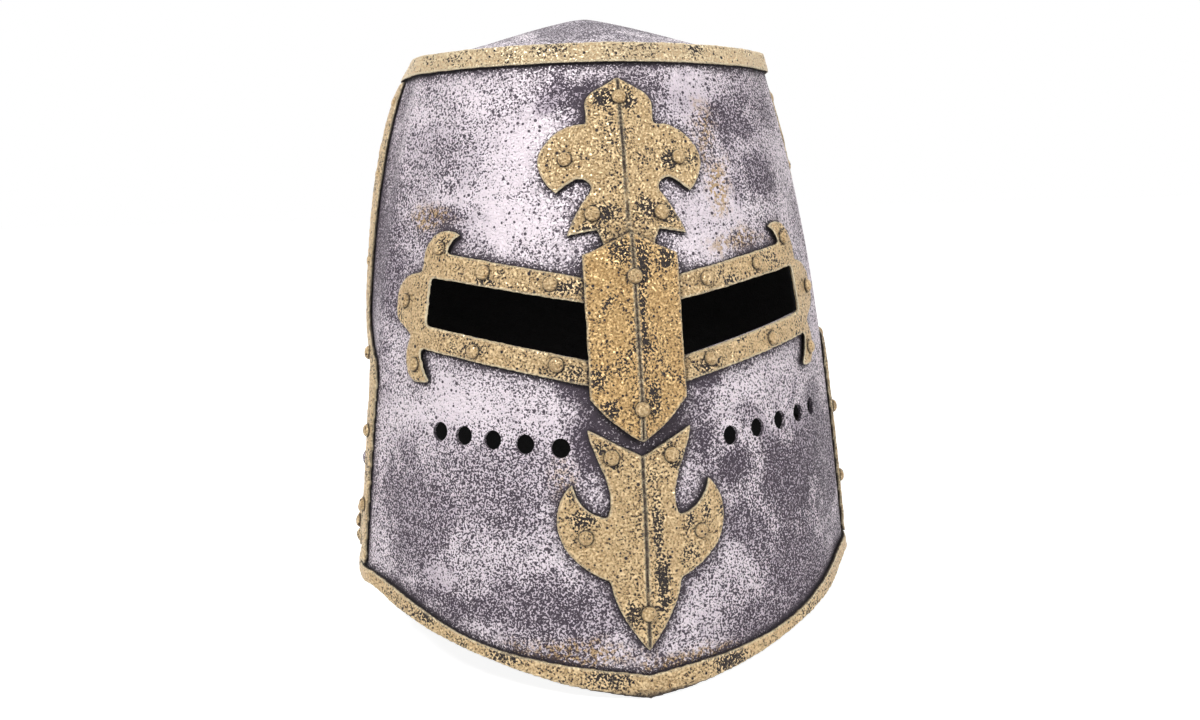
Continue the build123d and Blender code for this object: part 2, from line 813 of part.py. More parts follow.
def lining_spots():
    """Rivets that carry the lining band, round the rear of the helm."""
    spots = []
    for share in lining_rivet_turn_shares:
        angle = radians(180 * share)
        start = (reach * cos(angle), reach * sin(angle), lining_rivet_height)
        spots.append(wall_spot(0, start, (-cos(angle), -sin(angle), 0)))
    return spots


def lining_outer():
    return lap_inner - lining_gap


def head_block(margin):
    """The oval that the head takes up, through the lining."""
    oval = Ellipse(head_half_width + margin, head_half_length + margin)
    return Pos(0, head_middle, lining_low - overrun) * extrude(oval, lining_high - lining_low + 2 * overrun)


def lining_band():
    outer = lining_outer()
    band = layer(outer - lining_thickness, outer) & slab(lining_low, lining_high)
    depth = 2 * plate_thickness + 4 * lining_thickness
    return band - holes_at(lining_spots(), depth) - holes_at(barb_spots(), depth)


def pad_pockets(spots, depth):
    """Room in the pads for the closed ends of the rivets."""
    length = depth + rivet_end_height + pad_pocket_clearance
    tool = Pos(0, 0, -length / 2) * Cylinder(rivet_end_radius + pad_pocket_clearance, length)
    return [spot.location * tool for spot in spots]


def lining_pads():
    """Four cushions between the lining band and the head."""
    outer = lining_outer() - lining_thickness - seat_clearance
    ring = (helm_body(outer) & slab(lining_low, lining_high)) - head_block(0)
    ring = ring - pad_pockets(lining_spots(), -outer) - pad_pockets(barb_spots(), band_outer - outer)
    turn = 360 / pad_count
    place = (Align.NONE, Align.NONE, Align.MIN)
    wedge = Cylinder(reach, helm_height, arc_size=turn - pad_gap_angle, align=place)
    pads = []
    for index in range(pad_count):
        start = turn * (index + 1 / 2) + pad_gap_angle / 2
        pads.append(ring & Rot(0, 0, start) * wedge)
    return pads


def lining_rivets():
    """Low-headed rivets through back plate and lining band."""
    grip = plate_thickness + (plate_inner - lining_outer()) + lining_thickness + seat_clearance
    return rivets_at(lining_spots(), grip)


def tongue_dome(margin):
    """The oval dome over the head, grown by a margin."""
    size = (head_half_width + margin, head_half_length + margin, tongue_rise + margin)
    return Pos(0, head_middle, lining_high + seat_clearance) * scale(Sphere(1), by=size)


def lining_tongues():
    """Leather tongues that rise from the pads' inner edge to the crown disc."""
    shell = tongue_dome(tongue_thickness) - tongue_dome(0)
    shell = shell & slab(lining_high + seat_clearance, helm_height + crown_rise)
    shell = shell - Pos(0, head_middle, lining_high) * Cylinder(tongue_hole_radius, reach)
    tongues = []
    turn = 360 / tongue_count
    slope = tan(radians(turn / 2))
    corner = tongue_gap / 2 / sin(radians(turn / 2))
    outline = [(corner, 0), (corner + reach, reach * slope), (corner + reach, -reach * slope), (corner, 0)]
    wedge = Solid.extrude(Face(Wire(run(outline))), (0, 0, cut_top))
    for index in range(tongue_count):
        tongues.append(shell & (Pos(0, head_middle, 0) * Rot(0, 0, turn * index) * wedge))
    return tongues


def crown_disc():
    """The leather disc that closes the ring of tongue tips."""
    share = tongue_hole_radius / (head_half_length + tongue_thickness)
    tip = (tongue_rise + tongue_thickness) * sqrt(1 - share**2)
    z = lining_high + tip + 3 * seat_clearance
    return Pos(0, head_middle, z + disc_thickness / 2) * Cylinder(disc_radius, disc_thickness)


# Chin strap


def strap_line(level):
    """The strap's U from the right pivot to the left one, moved outward by a level."""
    x = strap_half_span + level
    bend = strap_pivot_height - strap_straight
    low = strap_pivot_height - strap_drop - level
    right = Edge.make_spline([(x, bend), (0, low)], tangents=((0, -1), (-1, 0)))
    straight = Edge.make_line((x, strap_pivot_height + strap_end_margin), (x, bend))
    return [straight, right, right.mirror(Plane.YZ), straight.mirror(Plane.YZ)]


def strap_half(level, from_x, to_x):
    """One layer of the strap between two places along X."""
    outer = strap_line(level + strap_thickness)
    inner = strap_line(level)
    ends = run([outer[0] @ 0, inner[0] @ 0]) + run([outer[-1] @ 0, inner[-1] @ 0])
    face = Face(Wire(outer + inner + ends))
    block = Solid.extrude(Plane.XZ * face, (0, -strap_width, 0))
    block = Pos(0, strap_pivot_y + strap_width / 2, 0) * block
    span = Pos((from_x + to_x) / 2, 0, 0) * Box(to_x - from_x, 2 * reach, 2 * reach)
    return block & span


def strap_bar(radius, from_x, to_x):
    """A round bar on the swing axis between two places along X."""
    place = Pos((from_x + to_x) / 2, strap_pivot_y, strap_pivot_height)
    return place * Rot(0, 90, 0) * Cylinder(radius, abs(to_x - from_x))


def strap_bore():
    return strap_bar(strap_rivet_radius + strap_hole_clearance, -reach, reach)


def strap_lap_level():
    return strap_thickness + strap_layer_gap


def chin_strap_left():
    """The short half, which carries the stud."""
    band = strap_half(0, -reach, strap_lap_half_length)
    return band - strap_bore() - stud_bore()


def chin_strap_right():
    """The long half, which lies outside the short one where they overlap."""
    band = strap_half(strap_lap_level(), -strap_lap_half_length, reach)
    return band - strap_bore() - stud_bore()


def stud_low():
    return strap_pivot_height - strap_drop - strap_lap_level() - strap_thickness


def stud_place(z):
    return Pos(0, strap_pivot_y, z)


def stud_bore():
    length = 2 * (strap_lap_level() + strap_thickness + overrun)
    bore = Cylinder(stud_neck_radius + strap_hole_clearance, length)
    return stud_place(strap_pivot_height - strap_drop) * bore


def strap_stud():
    """The stud that closes the strap: base inside, neck through both halves, round head outside."""
    top = strap_pivot_height - strap_drop + strap_thickness + seat_clearance
    low = stud_low() - strap_hole_clearance
    base = stud_place(top + stud_base_thickness / 2) * Cylinder(stud_base_radius, stud_base_thickness)
    neck = stud_place((top + low) / 2) * Cylinder(stud_neck_radius, top - low + stud_base_thickness)
    head = stud_place(low - stud_head_radius * stud_neck_share) * Sphere(stud_head_radius)
    return base + neck + head


def wall_inner_x():
    """How far the inner face of the back plate is from the middle at the strap's pivot."""
    return abs(hit(plate_inner, (-reach, strap_pivot_y, strap_pivot_height), (1, 0, 0)).X)


def wall_outer_x():
    return abs(hit(0, (-reach, strap_pivot_y, strap_pivot_height), (1, 0, 0)).X)


def strap_face_x(side):
    """The outer face of the strap half on one side, at the pivot."""
    level = strap_lap_level() if side > 0 else 0
    return strap_half_span + level + strap_thickness


def strap_spacer(side):
    """The tube round the rivet that holds the strap off the wall."""
    near = strap_face_x(side) + strap_hole_clearance
    far = wall_inner_x() - strap_spacer_clearance
    tube = strap_bar(strap_spacer_radius, side * near, side * far)
    return tube - strap_bar(strap_rivet_radius + seat_clearance, -reach, reach)


def strap_rivet(side):
    """The rivet that the strap swings on: head outside the back plate, closed end inside the strap."""
    seat = wall_outer_x() + strap_side_clearance
    inner_face = strap_face_x(side) - strap_thickness - strap_hole_clearance
    origin = (side * seat, strap_pivot_y, strap_pivot_height)
    place = Plane(origin, x_dir=(0, 1, 0), z_dir=(side, 0, 0))
    head = (strap_rivet_head_radius, strap_rivet_head_rise)
    return place.location * rivet(seat - inner_face, *head, strap_rivet_radius, strap_end_radius)


def strap_rivet_bore():
    return strap_bar(strap_rivet_radius + rivet_hole_clearance, -reach, reach)


# All sub-parts, by the names of their files


def several(solids):
    return Compound(children=solids)


def ornament_rivets(spots, extra=0):
    return rivets_at(spots, band_thickness + plate_thickness + 2 * seat_clearance + extra)


def upper_fleur_rivets():
    """The tip and petal rivets, and the longer barb rivets that carry the lining in front."""
    spots = upper_fleur_spots()
    lining_depth = plate_inner - lining_outer() + lining_thickness
    tip = ornament_rivets(spots[:1], rivet_keel_slack)
    return tip + ornament_rivets(spots[1:3]) + ornament_rivets(spots[3:], lining_depth)


def lower_fleur_rivets():
    spots = lower_fleur_spots()
    return ornament_rivets(spots[:1], rivet_keel_slack) + ornament_rivets(spots[1:])


def nose_rivets():
    return rivets_at(nose_spots(), nose_ridge_rise + plate_thickness + rivet_keel_slack)


def seam_rivets(side):
    grip = band_thickness + 2 * plate_thickness + 3 * seat_clearance
    return rivets_at(seam_spots(side), grip)


def trefoil_rivets():
    return [ornament_rivets([trefoil_spot(side)])[0] for side in (-1, 1)]


PIECES = {
    "face_plate": face_plate,
    "back_plate": back_plate,
    "crown_plate": crown_plate,
    "brow_band": brow_band,
    "rim_band_front": lambda: rim_bands()[0],
    "rim_band_rear": lambda: rim_bands()[1],
    "upper_fleur": upper_fleur,
    "lower_fleur": lower_fleur,
    "nose_plate": nose_plate,
    "crown_rivets": lambda: several(crown_rivets()),
    "upper_fleur_rivets": lambda: several(upper_fleur_rivets()),
    "lower_fleur_rivets": lambda: several(lower_fleur_rivets()),
    "nose_rivets": lambda: several(nose_rivets()),
    "trefoil_rivets": lambda: several(trefoil_rivets()),
    "lining_band": lining_band,
    "lining_rivets": lambda: several(lining_rivets()),
    "crown_disc": crown_disc,
    "chin_strap_left": chin_strap_left,
    "chin_strap_right": chin_strap_right,
    "strap_stud": strap_stud,
}

SIDED_PIECES = {
    "seam_band": seam_band,
    "seam_rivets": lambda side: several(seam_rivets(side)),
    "sight_frame": sight_frame,
    "frame_rivets": lambda side: several(ornament_rivets(frame_spots(side))),
    "side_trefoil": side_trefoil,
    "strap_rivet": strap_rivet,
    "strap_spacer": strap_spacer,
}

PAD_NAMES = ("rear_pad", "left_pad", "brow_pad", "right_pad")


def all_pieces():
    for name, make in PIECES.items():
        yield name, make()
    for name, make in SIDED_PIECES.items():
        for side_name, side in (("left", -1), ("right", 1)):
            yield f"{name}_{side_name}", make(side)
    for name, pad in zip(PAD_NAMES, lining_pads()):
        yield name, pad
    for index, tongue in enumerate(lining_tongues(), start=1):
        yield f"lining_tongue_{index}", tongue


def main():
    os.makedirs("parts", exist_ok=True)
    for name, piece in all_pieces():
        export_step(piece, f"parts/{name}.step")


if __name__ == "__main__":
    main()
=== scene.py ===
"""Looks of the great helm: painted plates, worn gold bands, rivets, leather lining and chin strap."""

import json
import logging
import math
from dataclasses import dataclass
from enum import Enum

import bmesh
import bpy
import numpy as np
from bpy.types import Material, Mesh, Node, NodeSocket, NodeTree, Object
from mathutils import Matrix, Vector, noise

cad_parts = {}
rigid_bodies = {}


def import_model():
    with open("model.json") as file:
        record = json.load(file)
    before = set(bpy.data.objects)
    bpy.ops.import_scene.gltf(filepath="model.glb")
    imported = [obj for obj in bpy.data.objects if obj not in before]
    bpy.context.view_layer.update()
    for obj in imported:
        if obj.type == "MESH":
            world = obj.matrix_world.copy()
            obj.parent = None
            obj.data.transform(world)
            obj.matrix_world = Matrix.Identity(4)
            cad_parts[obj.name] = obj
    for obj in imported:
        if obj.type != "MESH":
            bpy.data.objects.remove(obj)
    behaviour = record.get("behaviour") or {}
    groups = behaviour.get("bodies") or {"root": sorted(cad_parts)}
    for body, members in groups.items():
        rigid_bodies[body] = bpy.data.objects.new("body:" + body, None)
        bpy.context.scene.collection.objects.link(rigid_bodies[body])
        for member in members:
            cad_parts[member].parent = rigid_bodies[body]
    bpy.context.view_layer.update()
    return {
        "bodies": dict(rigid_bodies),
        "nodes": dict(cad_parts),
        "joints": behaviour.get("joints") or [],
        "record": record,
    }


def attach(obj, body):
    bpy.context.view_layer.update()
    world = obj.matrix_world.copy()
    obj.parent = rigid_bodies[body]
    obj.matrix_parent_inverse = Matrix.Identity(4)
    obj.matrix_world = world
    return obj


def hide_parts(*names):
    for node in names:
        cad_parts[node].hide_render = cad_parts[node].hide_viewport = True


log = logging.getLogger("great_helm")

MM = 0.001
WELD = 1e-6
SMOOTHING = 0.5
WHITE = (1.0, 1.0, 1.0, 1.0)
Color = tuple[float, float, float, float]
Triple = tuple[float, float, float]
Pair = tuple[float, float]


class Slot(Enum):
    """The record's material slots."""

    SILVER = "silver_plate"
    GOLD = "gold_band"
    GOLD_RIVET = "gold_rivet"
    STEEL_RIVET = "steel_rivet"
    BRASS = "strap_brass"
    LINING = "lining_leather"
    PAD = "pad_cloth"
    STRAP = "strap_leather"


class Body(Enum):
    """The bodies that pieces ride on."""

    HELM = "helm"
    STRAP = "chin_strap"


def srgb(red: int, green: int, blue: int) -> Color:
    """A colour given as it shows on screen, through the standard curve.

    Args:
        red: Red from 0 to 255.
        green: Green from 0 to 255.
        blue: Blue from 0 to 255.

    Returns:
        The same colour in the linear values that shaders take.
    """
    parts = []
    for value in (red, green, blue):
        share = value / 255
        parts.append(share / 12.92 if share <= 0.04045 else ((share + 0.055) / 1.055) ** 2.4)
    return parts[0], parts[1], parts[2], 1.0


def eased(share: np.ndarray) -> np.ndarray:
    """Softens both ends of shares from 0 to 1."""
    return share * share * (3 - 2 * share)


def read(mesh: Mesh, what: str = "co") -> np.ndarray:
    """Reads one vector for each vertex of a mesh.

    Args:
        mesh: The mesh.
        what: co for the points, normal for their normals.

    Returns:
        A row for each vertex.
    """
    rows = np.empty(len(mesh.vertices) * 3)
    mesh.vertices.foreach_get(what, rows)
    return rows.reshape(-1, 3)


def write(mesh: Mesh, points: np.ndarray) -> None:
    """Writes a mesh's points back."""
    mesh.vertices.foreach_set("co", points.ravel())
    mesh.update()


@dataclass(frozen=True)
class Value:
    """What a node's output gives, in a form for sums and products."""

    tree: "Tree"
    socket: NodeSocket

    def __add__(self, other: object) -> "Value":
        """Adds another value."""
        return self.tree.math("ADD", self, other)

    def __sub__(self, other: object) -> "Value":
        """Takes another value off."""
        return self.tree.math("SUBTRACT", self, other)

    def __rsub__(self, other: object) -> "Value":
        """Takes this value off another."""
        return self.tree.math("SUBTRACT", other, self)

    def __mul__(self, other: object) -> "Value":
        """Multiplies it with another value."""
        return self.tree.math("MULTIPLY", self, other)

    def larger(self, other: object) -> "Value":
        """Takes the larger of this and another value."""
        return self.tree.math("MAXIMUM", self, other)

    __radd__ = __add__
    __rmul__ = __mul__


@dataclass(frozen=True)
class Noise:
    """Waves to the metre, how many finer layers they have, how strong these are and how far all is bent."""

    scale: object
    detail: float = 2.0
    rough: float = 0.5
    bend: float = 0.0


class Tree:
    """A short way to place nodes in one node tree and to join them."""

    def __init__(self, tree: NodeTree) -> None:
        """Takes a material's, world's or group's node tree."""
        self.tree = tree

    def add(self, kind: str, inputs: dict[object, object] | None = None, **settings: object) -> Node:
        """Places one node.

        Args:
            kind: The node's type name.
            inputs: What its inputs get, by name or number.
            settings: Properties of the node.

        Returns:
            The node.
        """
        node = self.tree.nodes.new(kind)
        for name, value in settings.items():
            setattr(node, name, value)
        for key, value in (inputs or {}).items():
            self.feed(node.inputs[key], value)
        return node

    def value(
        self, kind: str, inputs: dict[object, object] | None = None, output: object = 0, **settings: object
    ) -> Value:
        """Places one node as add does, and gives one of its outputs."""
        return Value(self, self.add(kind, inputs, **settings).outputs[output])

    def feed(self, socket: NodeSocket, value: object) -> None:
        """Joins a socket to another, or gives it a value.

        Args:
            socket: The input.
            value: What another node gives, a number, a vector or a colour.
        """
        if isinstance(value, Value):
            self.tree.links.new(value.socket, socket)
        else:
            socket.default_value = value

    def math(self, operation: str, first: object, second: object = 0.0, clamp: bool = False) -> Value:
        """Works out one value from two, by an operation such as MULTIPLY."""
        return self.value("ShaderNodeMath", {0: first, 1: second}, operation=operation, use_clamp=clamp)

    def vector(self, operation: str, *inputs: object, output: str = "Vector") -> Value:
        """Works out a vector or a number from vectors, by an operation such as DOT_PRODUCT."""
        return self.value("ShaderNodeVectorMath", dict(enumerate(inputs)), output, operation=operation)

    def step(self, value: object, low: object, high: object) -> Value:
        """Turns a value into a soft step from 0 at low to 1 at high."""
        return self.value("ShaderNodeMapRange", {0: value, 1: low, 2: high}, interpolation_type="SMOOTHSTEP")

    def mix(self, share: object, first: object, second: object) -> Value:
        """Mixes two colours, with a share of the second."""
        return self.value("ShaderNodeMix", {0: share, 6: first, 7: second}, 2, data_type="RGBA")

    def noise(self, place: Value, noise: Noise) -> Value:
        """Places a noise texture, which gives values around 0.5."""
        inputs = {"Vector": place, "Scale": noise.scale, "Detail": noise.detail, "Roughness": noise.rough}
        return self.value("ShaderNodeTexNoise", inputs | {"Distortion": noise.bend})

    def group(self, group: NodeTree, **values: object) -> dict[str, Value]:
        """Places a shader node group, feeds its inputs and gives its outputs by name."""
        node = self.add("ShaderNodeGroup", values, node_tree=group)
        return {socket.name: Value(self, socket) for socket in node.outputs}


def floats(*titles: str) -> dict[str, str]:
    """Sockets for plain numbers."""
    return dict.fromkeys(titles, "Float")


class Group(Tree):
    """The tree of a node group."""

    def __init__(
        self, name: str, inputs: dict[str, str], outputs: dict[str, str], family: str = "Shader"
    ) -> None:
        """Makes the group and its sockets.

        Args:
            name: Its name.
            inputs: The kind of each input, by title.
            outputs: The kind of each output, by title.
            family: Shader or Geometry.
        """
        super().__init__(bpy.data.node_groups.new(name, f"{family}NodeTree"))
        for way, sockets in (("INPUT", inputs), ("OUTPUT", outputs)):
            for title, kind in sockets.items():
                self.tree.interface.new_socket(title, in_out=way, socket_type=f"NodeSocket{kind}")
        self.given = {socket.name: Value(self, socket) for socket in self.add("NodeGroupInput").outputs}

    def close(self, **results: object) -> NodeTree:
        """Feeds the outputs, by title, and gives the group."""
        self.add("NodeGroupOutput", results)
        return self.tree


@dataclass
class EffectGroups:
    """The effects that more than one finish uses, each a shader node group built once."""

    speck_edge: float = 0.7
    speck_gain: float = 0.3
    speck_softness: float = 0.05
    pit_pitch: float = 0.46
    pit_least: float = 0.42
    pit_rim: float = 0.07
    pit_sink: float = 0.6
    skin_edges: Pair = (0.68, 0.36)
    blot_edges: Pair = (1.35, 0.35)
    wash_and_shade_noise: Noise = Noise(260.0, 3.0, 0.6)
    wash_and_shade_samples: int = 8
    edge_samples: int = 6
    inner_edges: Pair = (-0.05, -0.35)

    def __post_init__(self) -> None:
        """Builds the groups."""
        self.specks = self._specks()
        self.blot = self._blot()
        self.patches = self._patches()
        self.wash = self._wash()
        self.edges = self._edges()
        self.inner_side = self._inner_side()

    def _specks(self) -> NodeTree:
        """Small dark specks that join into a net where they are dense, and round pits.

        Returns:
            The group.
        """
        inputs = {"Vector": "Vector"} | floats("Scale", "Amount", "Pits")
        tree = Group("Paint specks", inputs, floats("Mask", "Height"))
        place, scale = tree.given["Vector"], tree.given["Scale"]
        fine = tree.noise(place, Noise(scale, 2.0, 0.6))
        edge = self.speck_edge - tree.given["Amount"] * self.speck_gain
        cells = tree.add("ShaderNodeTexVoronoi", {"Vector": place, "Scale": scale * self.pit_pitch})
        reach = (Value(tree, cells.outputs["Color"]) - self.pit_least) * tree.given["Pits"]
        pits = tree.step(Value(tree, cells.outputs["Distance"]), reach, reach - self.pit_rim)
        height = tree.math("SUBTRACT", tree.step(fine, *self.skin_edges), pits * self.pit_sink, clamp=True)
        return tree.close(Mask=tree.step(fine, edge, edge + self.speck_softness).larger(pits), Height=height)

    def _blot(self) -> NodeTree:
        """One soft blot at a place on the front and the same place behind.

        Returns:
            The group.
        """
        inputs = dict.fromkeys(("Vector", "Middle", "Shrink"), "Vector") | floats("Ragged", "Strength")
        tree = Group("Placed blot", inputs, floats("Mask"))
        away = tree.vector("SUBTRACT", tree.given["Vector"], tree.given["Middle"])
        share = tree.vector("MULTIPLY", away, tree.given["Shrink"])
        far = tree.vector("LENGTH", share, output="Value") + tree.given["Ragged"]
        return tree.close(Mask=tree.step(far, *self.blot_edges) * tree.given["Strength"])

    def _patches(self) -> NodeTree:
        """Large soft patches with drawn-out edges, as a cloth leaves when it wipes paint.

        Returns:
            The group.
        """
        tree = Group("Wiped patches", {"Vector": "Vector"} | floats("Scale", "Low", "High"), floats("Mask"))
        wide = tree.noise(tree.given["Vector"], Noise(tree.given["Scale"], 4.0, 0.6, 0.6))
        return tree.close(Mask=tree.step(wide, tree.given["Low"], tree.given["High"]))

    def _wash(self) -> NodeTree:
        """Darkening in corners and along raised edges, found by ambient occlusion, with a broken outline:
        dark wash and painted shade.

        Returns:
            The group.
        """
        inputs = {"Vector": "Vector"} | floats("Distance", "Low", "High", "Broken")
        tree = Group("Crevice wash", inputs, floats("Mask"))
        shade = {"Distance": tree.given["Distance"]}
        depth = 1.0 - tree.value("ShaderNodeAmbientOcclusion", shade, "AO", samples=self.wash_and_shade_samples)
        ragged = tree.noise(tree.given["Vector"], self.wash_and_shade_noise) - 0.5
        depth = depth + ragged * tree.given["Broken"]
        return tree.close(Mask=tree.step(depth, tree.given["Low"], tree.given["High"]))

    def _edges(self) -> NodeTree:
        """Raised edges, found by how soon a ray sent inward leaves the piece; on the gold they carry rubbed
        paint and a painted highlight, on the leather they are worn paler.

        Returns:
            The group.
        """
        tree = Group("Rubbed edges", floats("Distance", "Low", "High"), floats("Mask"))
        settings = {"samples": self.edge_samples, "inside": True, "only_local": True}
        shade = {"Distance": tree.given["Distance"]}
        thin = 1.0 - tree.value("ShaderNodeAmbientOcclusion", shade, "AO", **settings)
        return tree.close(Mask=tree.step(thin, tree.given["Low"], tree.given["High"]))

    def _inner_side(self) -> NodeTree:
        """The faces that look towards the helm's upright middle line, where the inside of the helm is
        painted in shade.

        Returns:
            The group.
        """
        tree = Group("Inner side", {"Vector": "Vector"}, floats("Mask"))
        flat = tree.vector("MULTIPLY", tree.given["Vector"], (1.0, 1.0, 0.0))
        normal = tree.value("ShaderNodeNewGeometry", output="True Normal")
        facing = tree.vector("DOT_PRODUCT", tree.vector("NORMALIZE", flat), normal, output="Value")
        return tree.close(Mask=tree.step(facing, *self.inner_edges))


@dataclass(frozen=True)
class Blot:
    """A place where a finish has more of something, in millimetres."""

    aside: float
    height: float
    wide: float
    high: float
    strength: float = 1.0


def blots(*rows: tuple[float, ...]) -> tuple[Blot, ...]:
    """Blots, each from the row of its numbers."""
    return tuple(Blot(*row) for row in rows)


@dataclass(frozen=True)
class Patches:
    """Patches to the metre, and the noise levels where they start and are full."""

    scale: float
    low: float
    high: float


@dataclass(frozen=True)
class Reach:
    """How far a wash or a rubbed edge reaches, where it starts and is full, and how broken it is."""

    distance: float
    low: float
    high: float
    broken: float = 0.0


class Coat(Tree):
    """A material's tree, with ways to lay the effects over a piece."""

    def __init__(self, name: str, effects: EffectGroups) -> None:
        """Starts a material.

        Args:
            name: Its name.
            effects: The shared node groups.
        """
        self.material = bpy.data.materials.new(name)
        self.material.use_nodes = True
        super().__init__(self.material.node_tree)
        self.effects = effects
        self.place = self.value("ShaderNodeTexCoord", output="Object")

    def grain(self, noise: Noise) -> Value:
        """Lays a noise over the piece."""
        return self.noise(self.place, noise)

    def patches(self, look: Patches) -> Value:
        """Lays wiped patches."""
        values = {"Scale": look.scale, "Low": look.low, "High": look.high}
        return self.group(self.effects.patches, Vector=self.place, **values)["Mask"]

    def wash(self, reach: Reach) -> Value:
        """Lays dark wash and painted shade into the corners."""
        values = {"Distance": reach.distance, "Low": reach.low, "High": reach.high, "Broken": reach.broken}
        return self.group(self.effects.wash, Vector=self.place, **values)["Mask"]

    def edges(self, reach: Reach) -> Value:
        """Finds the raised edges."""
        values = {"Distance": reach.distance, "Low": reach.low, "High": reach.high}
        return self.group(self.effects.edges, **values)["Mask"]

    def specks(self, scale: float, amount: Value, pits: float) -> tuple[Value, Value]:
        """Lays specks and round pits, and gives their mask and the height of the skin between them."""
        skin = self.group(self.effects.specks, Vector=self.place, Scale=scale, Amount=amount, Pits=pits)
        return skin["Mask"], skin["Height"]

    def blots(self, blots: tuple[Blot, ...], ragged: Value) -> Value | float:
        """Lays several blots over each other.

        Args:
            blots: The blots.
            ragged: What breaks up their outlines.

        Returns:
            Their common mask.
        """
        total: Value | float = 0.0
        for blot in blots:
            values = {
                "Middle": (blot.aside * MM, 0.0, blot.height * MM),
                "Shrink": (1 / (blot.wide * MM), 0.0, 1 / (blot.high * MM)),
                "Strength": blot.strength,
            }
            mask = self.group(self.effects.blot, Vector=self.place, Ragged=ragged, **values)
            total = mask["Mask"].larger(total)
        return total

    def bumps(self, *layers: tuple[Value, float]) -> Value:
        """Lays bumps over each other.

        Args:
            layers: The height and the depth in metres of each, the lowest first.

        Returns:
            The normal.
        """
        inputs: dict[object, object] = {"Strength": 1.0}
        for height, depth in layers:
            normal = self.value("ShaderNodeBump", inputs | {"Height": height, "Distance": depth}, "Normal")
            inputs["Normal"] = normal
        return normal

    def finish(self, looks: dict[str, object]) -> Material:
        """Feeds the shader.

        Args:
            looks: What its inputs get, by name.

        Returns:
            The material.
        """
        shader = self.tree.nodes["Principled BSDF"]
        for name, value in looks.items():
            self.feed(shader.inputs[name], value)
        return self.material


@dataclass(frozen=True)
class PaintedSilver:
    """Pale lilac-grey paint with dark pits, wiped patches, dark wash and painted shade along raised edges,
    painted shade on the lower sides and near-black painted shade on the inner faces.
    """

    name: str
    light: Color = srgb(251, 238, 246)
    middle: Color = srgb(158, 143, 160)
    dark: Color = srgb(47, 35, 50)
    # Colour of the dark wash and painted shade along raised edges.
    wash: Color = srgb(34, 27, 34)
    dust: Color = srgb(196, 160, 104)
    # Near-black painted shade on the faces inside the helm.
    inside: Color = srgb(16, 14, 15)
    cloud: Noise = Noise(38.0, 4.0, 0.65, 0.5)
    ragged: float = 3.4
    smoke: Patches = Patches(13.0, 0.46, 0.7)
    smoke_share: float = 0.6
    middle_share: float = 0.7
    speck_scale: float = 1120.0
    pits: float = 1.0
    plain_amount: float = 0.54
    dark_amount: float = 0.5
    pale_amount: float = 0.32
    cloud_amount: float = 0.7
    # Near raised parts the specks grow denser, as dark wash and painted shade.
    near: Reach = Reach(0.02, 0.01, 0.16, 0.08)
    near_amount: float = 0.45
    speck_share: float = 0.94
    dust_grain: Noise = Noise(500.0, 2.0, 0.6)
    dust_edges: Pair = (0.42, 0.56)
    dust_share: float = 0.9
    # The dark line along raised edges: dark wash and painted shade.
    line: Reach = Reach(0.006, 0.16, 0.4, 0.3)
    line_share: float = 0.92
    metallic: float = 0.15
    rough: float = 0.42
    speck_rough: float = 0.3
    inside_rough: float = 0.8
    swell: Noise = Noise(120.0)
    swell_depth: float = 0.0006
    skin_depth: float = 0.00045
    dark_blots: tuple[Blot, ...] = blots(
        (-108, 205, 13, 65, 0.8), (-77, 243, 24, 16, 0.45), (-17, 266, 17, 11), (-77, 214, 13, 6, 0.9),
        (-100, 73, 22, 36, 0.75), (-85, 38, 36, 10, 0.8), (-58, 86, 22, 22, 0.6), (-42, 40, 32, 20, 0.75),
        (56, 255, 15, 12, 0.85), (72, 228, 16, 14, 0.85), (80, 262, 14, 14, 0.6), (47, 98, 17, 12),
        (82, 47, 26, 36, 0.8), (60, 28, 28, 12, 0.7), (97, 92, 13, 44, 0.75), (-23, 110, 9, 20),
        (30, 112, 8, 14), (-26, 137, 12, 6, 0.9), (30, 142, 12, 8, 0.9), (0, 314, 140, 26, 0.85),
        # The last two blots are painted shade: they darken the lower sides, where less light falls.
        (80, 82, 42, 44, 0.9), (-62, 96, 50, 24, 0.5),
    )
    pale_blots: tuple[Blot, ...] = blots(
        (-44, 248, 24, 18), (-56, 212, 32, 13), (-68, 128, 32, 14, 0.7), (34, 270, 9, 12),
        (36, 210, 20, 20, 0.8), (-88, 50, 8, 7), (72, 114, 18, 7, 0.8),
    )
    dusty_blots: tuple[Blot, ...] = blots(
        (42, 247, 7, 13), (46, 225, 6, 15), (-84, 212, 13, 7), (-34, 20, 36, 7), (20, 14, 26, 6),
        (62, 200, 20, 6), (-33, 97, 8, 11, 0.8),
    )

    def build(self, effects: EffectGroups) -> Material:
        """Makes the material.

        Args:
            effects: The shared node groups.

        Returns:
            The material.
        """
        coat = Coat(self.name, effects)
        cloud = coat.grain(self.cloud) - 0.5
        ragged = cloud * self.ragged
        dark = (coat.patches(self.smoke) * self.smoke_share).larger(coat.blots(self.dark_blots, ragged))
        pale = coat.blots(self.pale_blots, ragged)
        amount = self.plain_amount + dark * self.dark_amount - pale * self.pale_amount
        amount = amount + cloud * self.cloud_amount + coat.wash(self.near) * self.near_amount
        specks, skin = coat.specks(self.speck_scale, amount, self.pits)
        grain = coat.step(coat.grain(self.dust_grain), *self.dust_edges)
        dusty = coat.blots(self.dusty_blots, ragged) * grain * self.dust_share
        paint = coat.mix(dark * self.middle_share, self.light, self.middle)
        paint = coat.mix(dusty, paint, self.dust)
        paint = coat.mix(specks * self.speck_share, paint, self.dark)
        # Dark wash and painted shade along raised edges.
        paint = coat.mix(coat.wash(self.line) * self.line_share, paint, self.wash)
        # Faces inside the helm get a near-black painted shade.
        inner = coat.group(effects.inner_side, Vector=coat.place)["Mask"]
        return coat.finish(
            {
                "Base Color": coat.mix(inner, paint, self.inside),
                "Metallic": self.metallic,
                "Roughness": (self.rough + specks * self.speck_rough).larger(inner * self.inside_rough),
                "Normal": coat.bumps((coat.grain(self.swell), self.swell_depth), (skin, self.skin_depth)),
            }
        )


